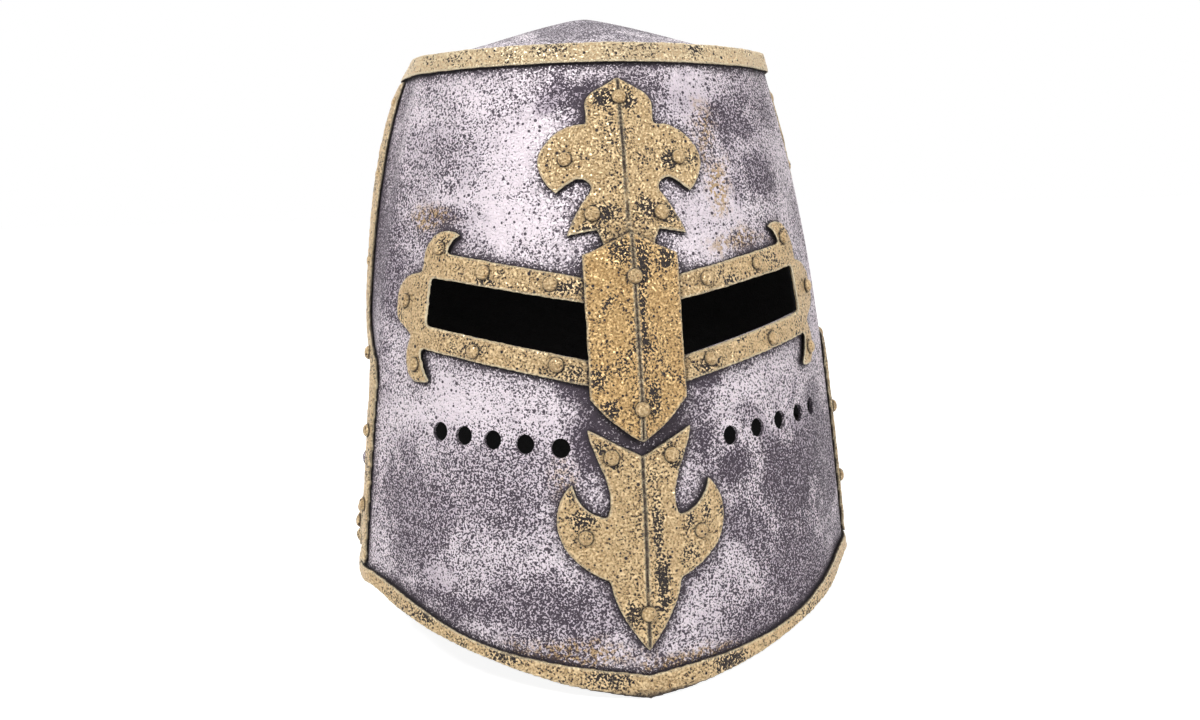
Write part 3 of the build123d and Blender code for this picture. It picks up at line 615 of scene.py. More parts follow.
@dataclass(frozen=True)
class WornGold:
    """Pale gold paint with a bumpy skin, black pits, dark worn places, dark wash and painted shade in
    corners, painted shade on the skin's relief and painted highlights on raised edges.
    """

    name: str
    light: Color = srgb(255, 224, 174)
    deep: Color = srgb(206, 166, 112)
    dark: Color = srgb(42, 32, 32)
    # Colour of raised edges: rubbed paint and painted highlight.
    rubbed_highlight: Color = srgb(255, 240, 206)
    keel: float = 0.0
    wear: float = 0.3
    # How strong the rubbed paint and painted highlight on raised edges are.
    rub: float = 0.8
    cloud: Noise = Noise(70.0, 3.0, 0.6, 0.3)
    ragged: float = 3.0
    cloud_amount: float = 0.9
    worn: Patches = Patches(46.0, 0.52, 0.64)
    worn_amount: float = 0.3
    # Specks grow denser in corners: dark wash and painted shade.
    hollow: Reach = Reach(0.005, 0.1, 0.4, 0.3)
    hollow_amount: float = 0.5
    blot_amount: float = 0.6
    speck_scale: float = 980.0
    pits: float = 0.8
    wander: Noise = Noise(60.0)
    wander_reach: float = 0.0012
    keel_edges: Pair = (0.012, 0.001)
    keel_amount: float = 0.16
    groove_edges: Pair = (0.0011, 0.0005)
    gaps: Noise = Noise(55.0)
    gap_edges: Pair = (0.26, 0.4)
    edge: Reach = Reach(0.0012, 0.03, 0.22)
    # Dark line along raised edges: dark wash and painted shade.
    line: Reach = Reach(0.008, 0.13, 0.34, 0.2)
    line_share: float = 0.92
    metallic: float = 0.3
    rough: float = 0.32
    speck_rough: float = 0.4
    swell: Noise = Noise(300.0)
    swell_depth: float = 0.0012
    skin_depth: float = 0.0012
    dark_blots: tuple[Blot, ...] = blots(
        (-8, 266, 5, 6), (5, 266, 4, 5, 0.9), (22, 238, 4, 5), (33, 237, 4, 4, 0.9), (-10, 214, 6, 6),
        (9, 215, 5, 6), (19, 213, 5, 5), (-15, 206, 6, 4, 0.9), (-5, 198, 5, 6), (4, 192, 2.5, 12, 0.7),
        (3, 165, 2, 30, 0.9), (16, 194, 4, 5, 0.8), (-18, 142, 5, 7), (-14, 129, 6, 5), (6, 133, 3.5, 8),
        (0, 116, 2, 6, 0.9), (-17, 111, 6, 4), (-12, 104, 4, 3, 0.9), (16, 104, 5, 5), (12, 113, 4, 4),
        (-31, 91, 4, 5), (-27, 80, 7, 5), (5.5, 78, 2.5, 16), (7, 50, 3.5, 16), (21, 78, 3, 6),
        (29, 82, 3, 7, 0.9), (21, 64, 4, 6, 0.8), (-7, 38, 4, 8, 0.9), (-64, 184, 4, 2.5),
        (-28, 182, 8, 4), (-29, 144, 12, 5, 0.8), (-71, 154, 6, 4, 0.8), (49, 182, 6, 4, 0.8),
        (33, 145, 9, 5, 0.8), (-97, 30, 6, 5), (-61, 19, 9, 5), (-18, 10, 12, 5, 0.9), (40, 12, 8, 5, 0.8),
        (-30, 290, 9, 5, 0.8), (40, 288, 6, 4, 0.7),
    )

    def build(self, effects: EffectGroups) -> Material:
        """Makes the material.

        Args:
            effects: The shared node groups.

        Returns:
            The material.
        """
        coat = Coat(self.name, effects)
        cloud = coat.grain(self.cloud) - 0.5
        blots = coat.blots(self.dark_blots, cloud * self.ragged)
        amount = self.wear + coat.patches(self.worn) * self.worn_amount + cloud * self.cloud_amount
        # Denser specks in corners add dark wash and painted shade.
        amount = amount + coat.wash(self.hollow) * self.hollow_amount + blots * self.blot_amount
        groove: Value | float = 0.0
        if self.keel > 0:
            wander = (coat.grain(self.wander) - 0.5) * self.wander_reach
            aside = coat.math("ABSOLUTE", coat.value("ShaderNodeSeparateXYZ", {0: coat.place}) + wander)
            amount = amount + coat.step(aside, *self.keel_edges) * self.keel_amount
            broken = coat.step(coat.grain(self.gaps), *self.gap_edges)
            groove = coat.step(aside, *self.groove_edges) * broken * self.keel
        specks, skin = coat.specks(self.speck_scale, amount, self.pits)
        # Raised edges get a pale colour: rubbed paint and painted highlight.
        rubbed = coat.edges(self.edge) * self.rub
        specks = specks.larger(groove) * (1.0 - rubbed)
        # Dark wash and painted shade along raised edges.
        specks = specks.larger(coat.wash(self.line) * self.line_share)
        # Colour follows the skin's height, deep in its hollows and light on its bumps: painted shade and
        # highlight on the relief, with wash settled in the hollows.
        gold = coat.mix(rubbed, coat.mix(skin, self.deep, self.light), self.rubbed_highlight)
        return coat.finish(
            {
                "Base Color": coat.mix(specks, gold, self.dark),
                "Metallic": (1.0 - specks) * self.metallic,
                "Roughness": self.rough + specks * self.speck_rough,
                "Normal": coat.bumps((coat.grain(self.swell), self.swell_depth), (skin, self.skin_depth)),
            }
        )


@dataclass(frozen=True)
class Leather:
    """Waxed leather with a fine grain, creases and edges worn paler."""

    name: str
    base: Color = srgb(74, 46, 30)
    deep: Color = srgb(38, 24, 17)
    rubbed: Color = srgb(128, 92, 62)
    rough: float = 0.5
    grain_scale: float = 1100.0
    grain_edges: Pair = (0.0, 0.22)
    grain_depth: float = 0.00012
    stained: Patches = Patches(34.0, 0.4, 0.66)
    stained_share: float = 0.7
    stained_rough: float = 0.15
    edge: Reach = Reach(0.0008, 0.12, 0.42)
    edge_share: float = 0.6
    crease: Noise = Noise(150.0, 4.0, 0.65, 0.8)
    crease_depth: float = 0.0006

    def build(self, effects: EffectGroups) -> Material:
        """Makes the material.

        Args:
            effects: The shared node groups.

        Returns:
            The material.
        """
        coat = Coat(self.name, effects)
        inputs = {"Vector": coat.place, "Scale": self.grain_scale}
        cells = coat.value("ShaderNodeTexVoronoi", inputs, "Distance", feature="DISTANCE_TO_EDGE")
        grain = coat.step(cells, *self.grain_edges)
        stained = coat.patches(self.stained)
        colour = coat.mix(stained * self.stained_share, self.base, self.deep)
        colour = coat.mix(1.0 - grain, colour, self.deep)
        crease = coat.grain(self.crease)
        return coat.finish(
            {
                "Base Color": coat.mix(coat.edges(self.edge) * self.edge_share, colour, self.rubbed),
                "Roughness": self.rough + stained * self.stained_rough,
                "Normal": coat.bumps((crease, self.crease_depth), (grain, self.grain_depth)),
            }
        )


@dataclass(frozen=True)
class Linen:
    """Undyed linen in a plain weave, with a few stains."""

    name: str
    thread: Color = srgb(196, 182, 150)
    gap: Color = srgb(120, 104, 78)
    stain: Color = srgb(150, 128, 92)
    threads: float = 2600.0
    threads_in_band: float = 6.0
    uneven: float = 0.6
    weave_edges: Pair = (0.05, 0.5)
    weave_depth: float = 0.0002
    stains: Patches = Patches(30.0, 0.45, 0.7)
    stain_share: float = 0.5
    rough: float = 0.9
    sheen: float = 0.2

    def build(self, effects: EffectGroups) -> Material:
        """Makes the material.

        Args:
            effects: The shared node groups.

        Returns:
            The material.
        """
        coat = Coat(self.name, effects)
        scale = self.threads / self.threads_in_band
        inputs = {"Vector": coat.place, "Scale": scale, "Distortion": self.uneven, "Detail": 1.0}
        weave: Value | float = 1.0
        for direction in ("X", "Z"):
            settings = {"wave_type": "BANDS", "bands_direction": direction}
            weave = coat.value("ShaderNodeTexWave", inputs, "Fac", **settings) * weave
        colour = coat.mix(coat.step(weave, *self.weave_edges), self.gap, self.thread)
        return coat.finish(
            {
                "Base Color": coat.mix(coat.patches(self.stains) * self.stain_share, colour, self.stain),
                "Roughness": self.rough,
                "Sheen Weight": self.sheen,
                "Normal": coat.bumps((weave, self.weave_depth)),
            }
        )


@dataclass(frozen=True)
class DullBrass:
    """Cast brass with brown patina in its hollows."""

    name: str
    base: Color = srgb(182, 146, 84)
    patina: Color = srgb(84, 62, 36)
    aged: Patches = Patches(180.0, 0.42, 0.62)
    aged_share: float = 0.6
    hollow: Reach = Reach(0.003, 0.1, 0.4, 0.1)
    metallic: float = 0.9
    rough: float = 0.3
    aged_rough: float = 0.35
    cast: Noise = Noise(700.0, 3.0)
    cast_depth: float = 0.0001

    def build(self, effects: EffectGroups) -> Material:
        """Makes the material.

        Args:
            effects: The shared node groups.

        Returns:
            The material.
        """
        coat = Coat(self.name, effects)
        aged = (coat.patches(self.aged) * self.aged_share).larger(coat.wash(self.hollow))
        return coat.finish(
            {
                "Base Color": coat.mix(aged, self.base, self.patina),
                "Metallic": self.metallic,
                "Roughness": self.rough + aged * self.aged_rough,
                "Normal": coat.bumps((coat.grain(self.cast), self.cast_depth)),
            }
        )


@dataclass(frozen=True)
class Form:
    """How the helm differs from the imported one: fuller sides, a top further back, a taller nose plate."""

    swell_levels: tuple[int, ...] = (125, 140, 150, 162, 180, 200, 216, 232, 248, 262, 275, 284, 294, 300)
    swells: tuple[float, ...] = (0.0, 1.2, 3.0, 5.4, 7.2, 9.0, 10.2, 11.0, 11.4, 10.8, 9.0, 6.0, 1.2, 0.0)
    start: float = -0.02
    full: float = 0.03
    middle: float = 0.06
    top_half: Pair = (0.086, 0.09)
    top_y: float = 0.015
    top_back: float = 0.02
    top_power: float = 1.6
    top_drop: float = 0.0024
    drop_reach: float = 0.05
    nose_levels: Pair = (0.18, 0.191)
    nose_half: float = 0.0218
    shoulder_lift: float = 0.006
    apex_lift: float = 0.0023
    nose_lean: float = 0.27

    def walls(self, points: np.ndarray) -> np.ndarray:
        """Swells the sides outward.

        Args:
            points: Points in the row frame.

        Returns:
            The moved points.
        """
        share = eased(np.clip((points[:, 1] - self.start) / (self.full - self.start), 0, 1))
        share *= np.clip(np.abs(points[:, 0]) / self.middle, 0, 1)
        reach = np.interp(points[:, 2], np.array(self.swell_levels) * MM, np.array(self.swells) * MM)
        moved = points.copy()
        moved[:, 0] += np.sign(points[:, 0]) * reach * share
        return moved

    def crown(self, points: np.ndarray) -> np.ndarray:
        """Moves the crown's top back and flattens its sides.

        Args:
            points: Points in the row frame.

        Returns:
            The moved points.
        """
        across, along = points[:, 0] / self.top_half[0], (points[:, 1] - self.top_y) / self.top_half[1]
        inner = np.clip(1 - across**2 - along**2, 0, 1)
        moved = points.copy()
        moved[:, 1] += self.top_back * inner**self.top_power
        moved[:, 2] -= self.top_drop * np.sqrt(inner) * np.clip(np.abs(points[:, 0]) / self.drop_reach, 0, 1)
        return moved

    def nose(self, points: np.ndarray) -> np.ndarray:
        """Raises the shoulders and the apex of the nose plate's upper end.

        Args:
            points: Points in the row frame.

        Returns:
            The moved points.
        """
        low, high = self.nose_levels
        share = np.clip((points[:, 2] - low) / (high - low), 0, 1)
        aside = np.clip(np.abs(points[:, 0]) / self.nose_half, 0, 1)
        lift = share * (self.shoulder_lift * aside**3 + self.apex_lift * (1 - aside) ** 2)
        moved = points.copy()
        moved[:, 1] += lift * self.nose_lean
        moved[:, 2] += lift
        return moved

    def seat(self, place: Vector, axis: Vector) -> tuple[Vector, Vector]:
        """Moves a rivet's seat with the wall.

        Args:
            place: The middle of its head's underside.
            axis: Its outward axis.

        Returns:
            The moved place and the turned axis.
        """
        side = axis.orthogonal().normalized()
        spots = self.walls(np.array([place, place + side * MM, place + axis.cross(side) * MM]))
        here, first, second = (Vector(spot) for spot in spots)
        return here, (first - here).cross(second - here).normalized()


@dataclass(frozen=True)
class Dents:
    """Shallow marks: depth in metres, marks to the metre, and how much finer marks add."""

    depth: float
    waves: float
    gain: float = 1.6
    finer: float = 3.7
    finer_share: float = 0.4
    shift: Triple = (1.0, 0.7, 1.3)


class Workshop:
    """What the makers of pieces share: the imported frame, the finishes and ways to make meshes."""

    def __init__(self, frame: dict[str, object]) -> None:
        """Builds the finishes.
        """
        self.nodes: dict[str, Object] = frame["nodes"]
        self.form = Form()
        # The brow band, at the top, gets a paler gold, and the nose plate a deeper one.
        pale = {"light": srgb(255, 233, 192), "deep": srgb(240, 202, 152), "wear": 0.2}
        nose = {"light": srgb(252, 212, 150), "deep": srgb(194, 147, 84), "keel": 0.95}
        # The steel rivets' inner faces get a lighter painted shade.
        steel = {"speck_scale": 900.0, "inside": srgb(96, 88, 98)}
        effects = EffectGroups()
        self.silver = PaintedSilver("antiqued_silver").build(effects)
        self.gold = WornGold("worn_gold").build(effects)
        self.pale_gold = WornGold("worn_gold_pale", **pale).build(effects)
        self.keeled_gold = WornGold("worn_gold_keel", keel=0.95).build(effects)
        self.nose_gold = WornGold("worn_gold_nose", **nose).build(effects)
        self.gold_rivet = WornGold("worn_gold_rivets", wear=0.15, rub=0.2, dark_blots=()).build(effects)
        self.steel_rivet = PaintedSilver("antiqued_silver_rivets", **steel).build(effects)
        self.lining_leather = Leather("lining_leather").build(effects)
        self.strap_leather = Leather("strap_leather", base=srgb(58, 36, 24), rough=0.42).build(effects)
        self.linen = Linen("quilted_linen").build(effects)
        self.thread = Linen("linen_thread", thread=srgb(206, 190, 156), threads=5200.0).build(effects)
        self.brass = DullBrass("dull_brass").build(effects)

    def place(self, mesh: Mesh, name: str) -> Object:
        """Puts a mesh into the scene.

        Args:
            mesh: The mesh, in the row frame.
            name: The piece's name.

        Returns:
            The piece.
        """
        piece = bpy.data.objects.new(name, mesh)
        bpy.context.scene.collection.objects.link(piece)
        return piece

    def hand_over(
        self, piece: Object, body: Body, slot: Slot, material: Material, replaced: tuple[str, ...] = ()
    ) -> None:
        """Gives a piece its material and body, and hides the nodes that it stands for.

        Args:
            piece: The piece.
            body: The body it rides on.
            slot: Its material slot; not used.
            material: Its material.
            replaced: The nodes it stands for.
        """
        piece.data.materials.clear()
        piece.data.materials.append(material)
        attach(piece, body.value)
        if replaced:
            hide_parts(*replaced)
        log.info("%s: %d faces", piece.name, len(piece.data.polygons))

    def dress(self, node: str, slot: Slot, material: Material) -> None:
        """Gives a node that stays as it is its material.

        Args:
            node: The node's name.
            slot: Its material slot; not used.
            material: The material.
        """
        piece = self.nodes[node]
        if piece.material_slots:
            piece.material_slots[0].material = material
        else:
            piece.data.materials.append(material)
        log.info("%s: dressed", node)

    def evaluated(self, piece: Object) -> None:
        """Applies a piece's modifiers to its mesh.

        Args:
            piece: The piece.
        """
        graph = bpy.context.evaluated_depsgraph_get()
        graph.update()
        mesh = bpy.data.meshes.new_from_object(piece.evaluated_get(graph))
        piece.modifiers.clear()
        old = piece.data
        piece.data = mesh
        bpy.data.meshes.remove(old)

    def grown(self, piece: Object, group: NodeTree, values: dict[str, object]) -> None:
        """Runs a Geometry Nodes tree on a piece and keeps the mesh.

        Args:
            piece: The piece.
            group: The tree.
            values: What its inputs get, by title.
        """
        modifier = piece.modifiers.new("grown", "NODES")
        modifier.node_group = group
        for item in group.interface.items_tree:
            if item.in_out == "INPUT" and item.name in values:
                modifier[item.identifier] = values[item.name]
        self.evaluated(piece)

    def welded(self, node: str) -> bmesh.types.BMesh:
        """Reads a node's mesh and joins the points that lie together.

        Args:
            node: The node's name.

        Returns:
            The shape, which the caller frees.
        """
        shape = bmesh.new()
        shape.from_mesh(self.nodes[node].data)
        bmesh.ops.remove_doubles(shape, verts=shape.verts, dist=WELD)
        return shape

    def softened(self, node: str, name: str, voxel: float, passes: int) -> Object:
        """Copies a node with even faces, rounded edges and the helm's fuller form.

        Args:
            node: The node's name.
            name: The new piece's name.
            voxel: The size of its faces, in metres.
            passes: How often it is smoothed.

        Returns:
            The piece.
        """
        mesh = self.nodes[node].data.copy()
        shape = self.welded(node)
        shape.to_mesh(mesh)
        shape.free()
        piece = self.place(mesh, name)
        remesh = piece.modifiers.new("even", "REMESH")
        remesh.mode = "VOXEL"
        remesh.voxel_size = voxel
        remesh.use_smooth_shade = True
        smooth = piece.modifiers.new("round", "SMOOTH")
        smooth.factor = SMOOTHING
        smooth.iterations = passes
        self.evaluated(piece)
        write(piece.data, self.form.walls(read(piece.data)))
        return piece

    def reshaped(self, node: str, name: str) -> Object:
        """Copies a node and gives the copy the helm's fuller form.

        Args:
            node: The node's name.
            name: The new piece's name.

        Returns:
            The piece.
        """
        piece = self.place(self.nodes[node].data.copy(), name)
        points = self.form.walls(read(piece.data))
        if node == "crown_plate":
            points = self.form.crown(points)
        write(piece.data, points)
        return piece

    def held_back(self, piece: Object) -> None:
        """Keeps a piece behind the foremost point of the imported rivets.

        Args:
            piece: The piece.
        """
        points = read(piece.data)
        front = read(self.nodes["lower_fleur_rivets"].data)[:, 1].min()
        points[:, 1] = np.maximum(points[:, 1], front)
        write(piece.data, points)

    def dented(self, piece: Object, dents: Dents, seed: float) -> None:
        """Works shallow marks into a piece, always inward.

        Args:
            piece: The piece.
            dents: What the marks are like.
            seed: Shifts the pattern.
        """
        points = read(piece.data)
        shift = seed * Vector(dents.shift)
        marks = np.zeros(len(points))
        for finer, share in ((1.0, 1 - dents.finer_share), (dents.finer, dents.finer_share)):
            waves = np.array([noise.noise(Vector(point) * dents.waves * finer + shift) for point in points])
            marks += np.clip(waves * dents.gain, -1, 1) * share
        points -= read(piece.data, "normal") * (dents.depth * (0.5 + 0.5 * marks))[:, None]
        write(piece.data, points)


@dataclass
class Shell:
    """The plates and bands of the helm."""

    shop: Workshop
    voxel: float = 0.0009
    fine_voxel: float = 0.0007
    edge_passes: int = 4
    dents: Dents = Dents(0.00055, 140.0)
    plates: tuple[str, ...] = ("face_plate", "back_plate", "crown_plate", "crown_rivets")
    bands: tuple[str, ...] = (
        "brow_band",
        "rim_band_front",
        "rim_band_rear",
        "seam_band_left",
        "seam_band_right",
    )
    ornaments: tuple[str, ...] = (
        "upper_fleur",
        "lower_fleur",
        "sight_frame_left",
        "sight_frame_right",
        "side_trefoil_left",
        "side_trefoil_right",
        "nose_plate",
    )
    keeled: tuple[str, ...] = ("upper_fleur", "lower_fleur", "nose_plate")
    keel_rise: float = 0.0011
    keel_half_width: float = 0.0026
    groove_half_width: float = 0.0007
    bead_share: float = 0.6
    least_facing: float = 0.3
    facing_span: float = 0.4
    front_limit: float = -0.1322

    def build(self) -> None:
        """Makes the plates, the bands and the ornaments."""
        for node in self.plates:
            piece = self.shop.reshaped(node, f"{node}_painted")
            slot = Slot.STEEL_RIVET if node == "crown_rivets" else Slot.SILVER
            self.shop.hand_over(piece, Body.HELM, slot, self.shop.silver, (node,))
        paints = dict.fromkeys(self.keeled, self.shop.keeled_gold)
        paints |= {"brow_band": self.shop.pale_gold, "nose_plate": self.shop.nose_gold}
        for index, node in enumerate(self.bands + self.ornaments):
            voxel = self.voxel if node in self.bands else self.fine_voxel
            piece = self.shop.softened(node, f"{node}_worn", voxel, self.edge_passes)
            if node == "nose_plate":
                write(piece.data, self.shop.form.nose(read(piece.data)))
            if node in self.keeled:
                self._keel(piece)
            self.shop.dented(piece, self.dents, index)
            self.shop.hand_over(piece, Body.HELM, Slot.GOLD, paints.get(node, self.shop.gold), (node,))

    def _keel(self, piece: Object) -> None:
        """Raises a bead along the middle line with a groove in it.

        Args:
            piece: A fleur ornament or the nose plate.
        """
        points = read(piece.data)
        aside = np.abs(points[:, 0])
        front = np.clip((-read(piece.data, "normal")[:, 1] - self.least_facing) / self.facing_span, 0, 1)
        bead = eased(np.clip(1 - aside / self.keel_half_width, 0, 1)) * self.bead_share
        groove = np.clip(1 - aside / self.groove_half_width, 0, 1)
        points[:, 1] -= front * self.keel_rise * (bead - groove)
        points[:, 1] = np.maximum(points[:, 1], self.front_limit)
        write(piece.data, points)


@dataclass(frozen=True)
class Turned:
    """A turned shape: its size in metres, its sides, and the radius and height of its rings as shares."""

    name: str
    radius: float
    rise: float
    sides: int
    ring_shares: tuple[Pair, ...]

    def build(self) -> Object:
        """Makes the shape, outside the scene.

        Returns:
            The shape.
        """
        shape = bmesh.new()
        loops = []
        for radius_share, height_share in self.ring_shares:
            loop = []
            for index in range(self.sides):
                angle = math.tau * index / self.sides
                across = self.radius * radius_share
                point = (across * math.cos(angle), across * math.sin(angle), self.rise * height_share)
                loop.append(shape.verts.new(point))
            loops.append(loop)
        for below, above in zip(loops, loops[1:]):
            for index in range(self.sides):
                other = (index + 1) % self.sides
                shape.faces.new((below[index], below[other], above[other], above[index]))
        shape.faces.new(loops[-1])
        shape.faces.new(list(reversed(loops[0])))
        bmesh.ops.recalc_face_normals(shape, faces=shape.faces)
        mesh = bpy.data.meshes.new(self.name)
        shape.to_mesh(mesh)
        shape.free()
        for face in mesh.polygons:
            face.use_smooth = len(face.vertices) == 4
        return bpy.data.objects.new(self.name, mesh)


@dataclass
class RivetRows:
    """The domed rivets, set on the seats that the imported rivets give."""

    shop: Workshop
    head: Turned = Turned(
        "rivet_head",
        0.0036,
        0.0026,
        14,
        ((1.0, 0.0), (0.99, 0.2), (0.9, 0.5), (0.72, 0.78), (0.46, 0.94), (0.18, 1.0)),
    )
    end: Turned = Turned("rivet_end", 0.0026, 0.001, 12, ((1.0, 1.0), (1.0, 0.35), (0.88, 0.0)))
    sink: float = 0.0004
    flat_sink: float = 0.0018
    flat_above: float = 0.15
    flat_facing: float = 0.999
    level_gap: float = 0.0001
    unevenness: float = 0.09
    seed: int = 7
    gold_nodes: tuple[str, ...] = (
        "upper_fleur_rivets",
        "lower_fleur_rivets",
        "nose_rivets",
        "trefoil_rivets",
        "frame_rivets_left",
        "frame_rivets_right",
        "seam_rivets_left",
        "seam_rivets_right",
    )
    steel_nodes: tuple[str, ...] = ("lining_rivets",)

    def build(self) -> None:
        """Makes the rivets of each finish as one mesh."""
        self._make("gold_rivets", self.gold_nodes, Slot.GOLD_RIVET, self.shop.gold_rivet)
        self._make("lining_rivets_domed", self.steel_nodes, Slot.STEEL_RIVET, self.shop.steel_rivet)
        for side in ("left", "right"):
            self.shop.dress(f"strap_rivet_{side}", Slot.STEEL_RIVET, self.shop.steel_rivet)

    def _seats(self, node: str) -> list[tuple[Vector, Vector, float]]:
        """Finds where the rivets of a node sit.

        Args:
            node: The node's name.

        Returns:
            For each rivet what _seat gives.
        """
        shape = self.shop.welded(node)
        seats = []
        left = set(shape.faces)
        while left:
            island, wave = [], [left.pop()]
            while wave:
                face = wave.pop()
                island.append(face)
                near = {other for edge in face.edges for other in edge.link_faces} & left
                left -= near
                wave += near
            seats.append(self._seat(island))
        shape.free()
        return sorted(seats, key=lambda seat: tuple(round(v, 5) for v in seat[0]))

    def _seat(self, island: list[bmesh.types.BMFace]) -> tuple[Vector, Vector, float]:
        """Finds the seat of one rivet: its flat faces all look down its axis.

        Args:
            island: The rivet's faces.

        Returns:
            The middle of its head's underside, its outward axis and the depth of its closed end.
        """
        areas: dict[tuple[float, ...], float] = {}
        for face in island:
            key = tuple(round(v, 2) for v in face.normal)
            areas[key] = areas.get(key, 0.0) + face.calc_area()
        down = Vector(max(areas, key=areas.get)).normalized()
        flats = [face for face in island if face.normal.dot(down) > self.flat_facing]
        levels = [face.calc_center_median().dot(-down) for face in flats]
        top, low = max(levels), min(levels)
        under = [face for face, level in zip(flats, levels) if top - level < self.level_gap]
        area = sum(face.calc_area() for face in under)
        middle = sum((face.calc_center_median() * face.calc_area() for face in under), Vector()) / area
        return middle, -down, top - low

    def _make(self, name: str, nodes: tuple[str, ...], slot: Slot, material: Material) -> None:
        """Sets a head and a closed end at each seat.

        Args:
            name: The piece's name.
            nodes: The nodes that give the seats.
            slot: The material slot.
            material: The material.
        """
        points, axes = [], []
        for node in nodes:
            for packed, outward, depth in self._seats(node):
                seat, axis = self.shop.form.seat(packed, outward)
                flat = node.startswith("seam") and seat.z > self.flat_above
                sink = self.flat_sink if flat else self.sink
                points += [seat - axis * sink, seat - axis * (depth + self.end.rise)]
                axes += [axis, axis]
        mesh = bpy.data.meshes.new(name)
        mesh.from_pydata([tuple(point) for point in points], [], [])
        axis_data = mesh.attributes.new("axis", "FLOAT_VECTOR", "POINT")
        end_data = mesh.attributes.new("closed_end", "BOOLEAN", "POINT")
        for index, axis in enumerate(axes):
            axis_data.data[index].vector = axis
            end_data.data[index].value = index % 2 == 1
        piece = self.shop.place(mesh, name)
        shapes = {"Head": self.head.build(), "End": self.end.build()}
        values = shapes | {"Unevenness": self.unevenness, "Seed": self.seed}
        self.shop.grown(piece, self._tree(material), values)
        self.shop.held_back(piece)
        for used in shapes.values():
            bpy.data.objects.remove(used)
        self.shop.hand_over(piece, Body.HELM, slot, material, nodes)

    @staticmethod
    def _tree(material: Material) -> NodeTree:
        """Builds the tree that sets rivets on points.

        Args:
            material: What they are painted with.

        Returns:
            The Geometry Nodes tree.
        """
        inputs = {"Seats": "Geometry", "Head": "Object", "End": "Object"}
        inputs |= {"Seed": "Int", "Unevenness": "Float"}
        tree = Group("Rivets on seats", inputs, {"Rivets": "Geometry"}, "Geometry")
        given, random = tree.given, "FunctionNodeRandomValue"
        named = "GeometryNodeInputNamedAttribute"
        axis = tree.value(named, {"Name": "axis"}, "Attribute", data_type="FLOAT_VECTOR")
        is_end = tree.value(named, {"Name": "closed_end"}, "Attribute", data_type="BOOLEAN")
        is_head = tree.value("FunctionNodeBooleanMath", {0: is_end}, operation="NOT")
        turn = tree.value("FunctionNodeAlignRotationToVector", {"Vector": axis}, axis="Z")
        spin = tree.value(random, {2: 0.0, 3: math.tau, "Seed": given["Seed"]}, 1, data_type="FLOAT")
        twist = tree.value("FunctionNodeAxisAngleToRotation", {"Axis": (0.0, 0.0, 1.0), "Angle": spin})
        both = tree.value("FunctionNodeRotateRotation", {0: turn, 1: twist}, rotation_space="LOCAL")
        sizes = {2: 1.0 - given["Unevenness"], 3: 1.0, "Seed": given["Seed"] + 1.0}
        size = tree.value(random, sizes, 1, data_type="FLOAT")
        joined = tree.add("GeometryNodeJoinGeometry")
        for title, chosen in (("Head", is_head), ("End", is_end)):
            shape = tree.value("GeometryNodeObjectInfo", {"Object": given[title]}, "Geometry")
            spots = {"Points": given["Seats"], "Selection": chosen, "Instance": shape}
            spots |= {"Rotation": both, "Scale": size}
            tree.feed(joined.inputs[0], tree.value("GeometryNodeInstanceOnPoints", spots))
        real = tree.value("GeometryNodeRealizeInstances", {0: Value(tree, joined.outputs[0])})
        return tree.close(Rivets=tree.value("GeometryNodeSetMaterial", {0: real, "Material": material}))


@dataclass
class Lining:
    """The leather band, tongues and disc, and the four cushions."""

    shop: Workshop
    voxel: float = 0.0012
    leather_passes: int = 2
    leather_dents: Dents = Dents(0.0004, 60.0)
    leather_seed: int = 30
    pads: tuple[str, ...] = ("rear_pad", "left_pad", "brow_pad", "right_pad")
    pad_voxel: float = 0.003
    pad_passes: int = 4
    pad_dents: Dents = Dents(0.0008, 45.0)
    pad_seed: int = 50
    tongues: int = 6
    head_y: float = 0.011
    channel_pitch: float = 0.022
    channel_depth: float = 0.0016
    channel_share: float = 0.22

    def build(self) -> None:
        """Makes the leather parts and the cushions."""
        tongues = [f"lining_tongue_{index + 1}" for index in range(self.tongues)]
        for index, node in enumerate(["lining_band", "crown_disc"] + tongues):
            piece = self.shop.softened(node, f"{node}_leather", self.voxel, self.leather_passes)
            self.shop.dented(piece, self.leather_dents, self.leather_seed + index)
            self.shop.hand_over(piece, Body.HELM, Slot.LINING, self.shop.lining_leather, (node,))
        for index, node in enumerate(self.pads):
            piece = self.shop.softened(node, f"{node}_quilted", self.pad_voxel, self.pad_passes)
            self._quilt(piece)
            self.shop.dented(piece, self.pad_dents, self.pad_seed + index)
            self.shop.hand_over(piece, Body.HELM, Slot.PAD, self.shop.linen, (node,))

    def _quilt(self, piece: Object) -> None:
        """Draws a cushion in along its sewn channels.

        Args:
            piece: The cushion.
        """
        finer = piece.modifiers.new("fine", "SUBSURF")
        finer.levels = finer.render_levels = 1
        self.shop.evaluated(piece)
        points, normals = read(piece.data), read(piece.data, "normal")
        centre = points.mean(axis=0)
        angle = np.arctan2(points[:, 1] - self.head_y, points[:, 0])
        reach = np.hypot(points[:, 0], points[:, 1] - self.head_y)
        along = (angle - math.atan2(centre[1] - self.head_y, centre[0]) + math.pi) % math.tau - math.pi
        share = np.abs(((along * reach.mean() / self.channel_pitch) + 0.5) % 1.0 - 0.5) * 2
        pull = np.exp(-((share / self.channel_share) ** 2))
        level = np.clip(1 - np.abs(normals[:, 2]), 0, 1)
        write(piece.data, points - normals * (self.channel_depth * pull * level)[:, None])
        for face in piece.data.polygons:
            face.use_smooth = True


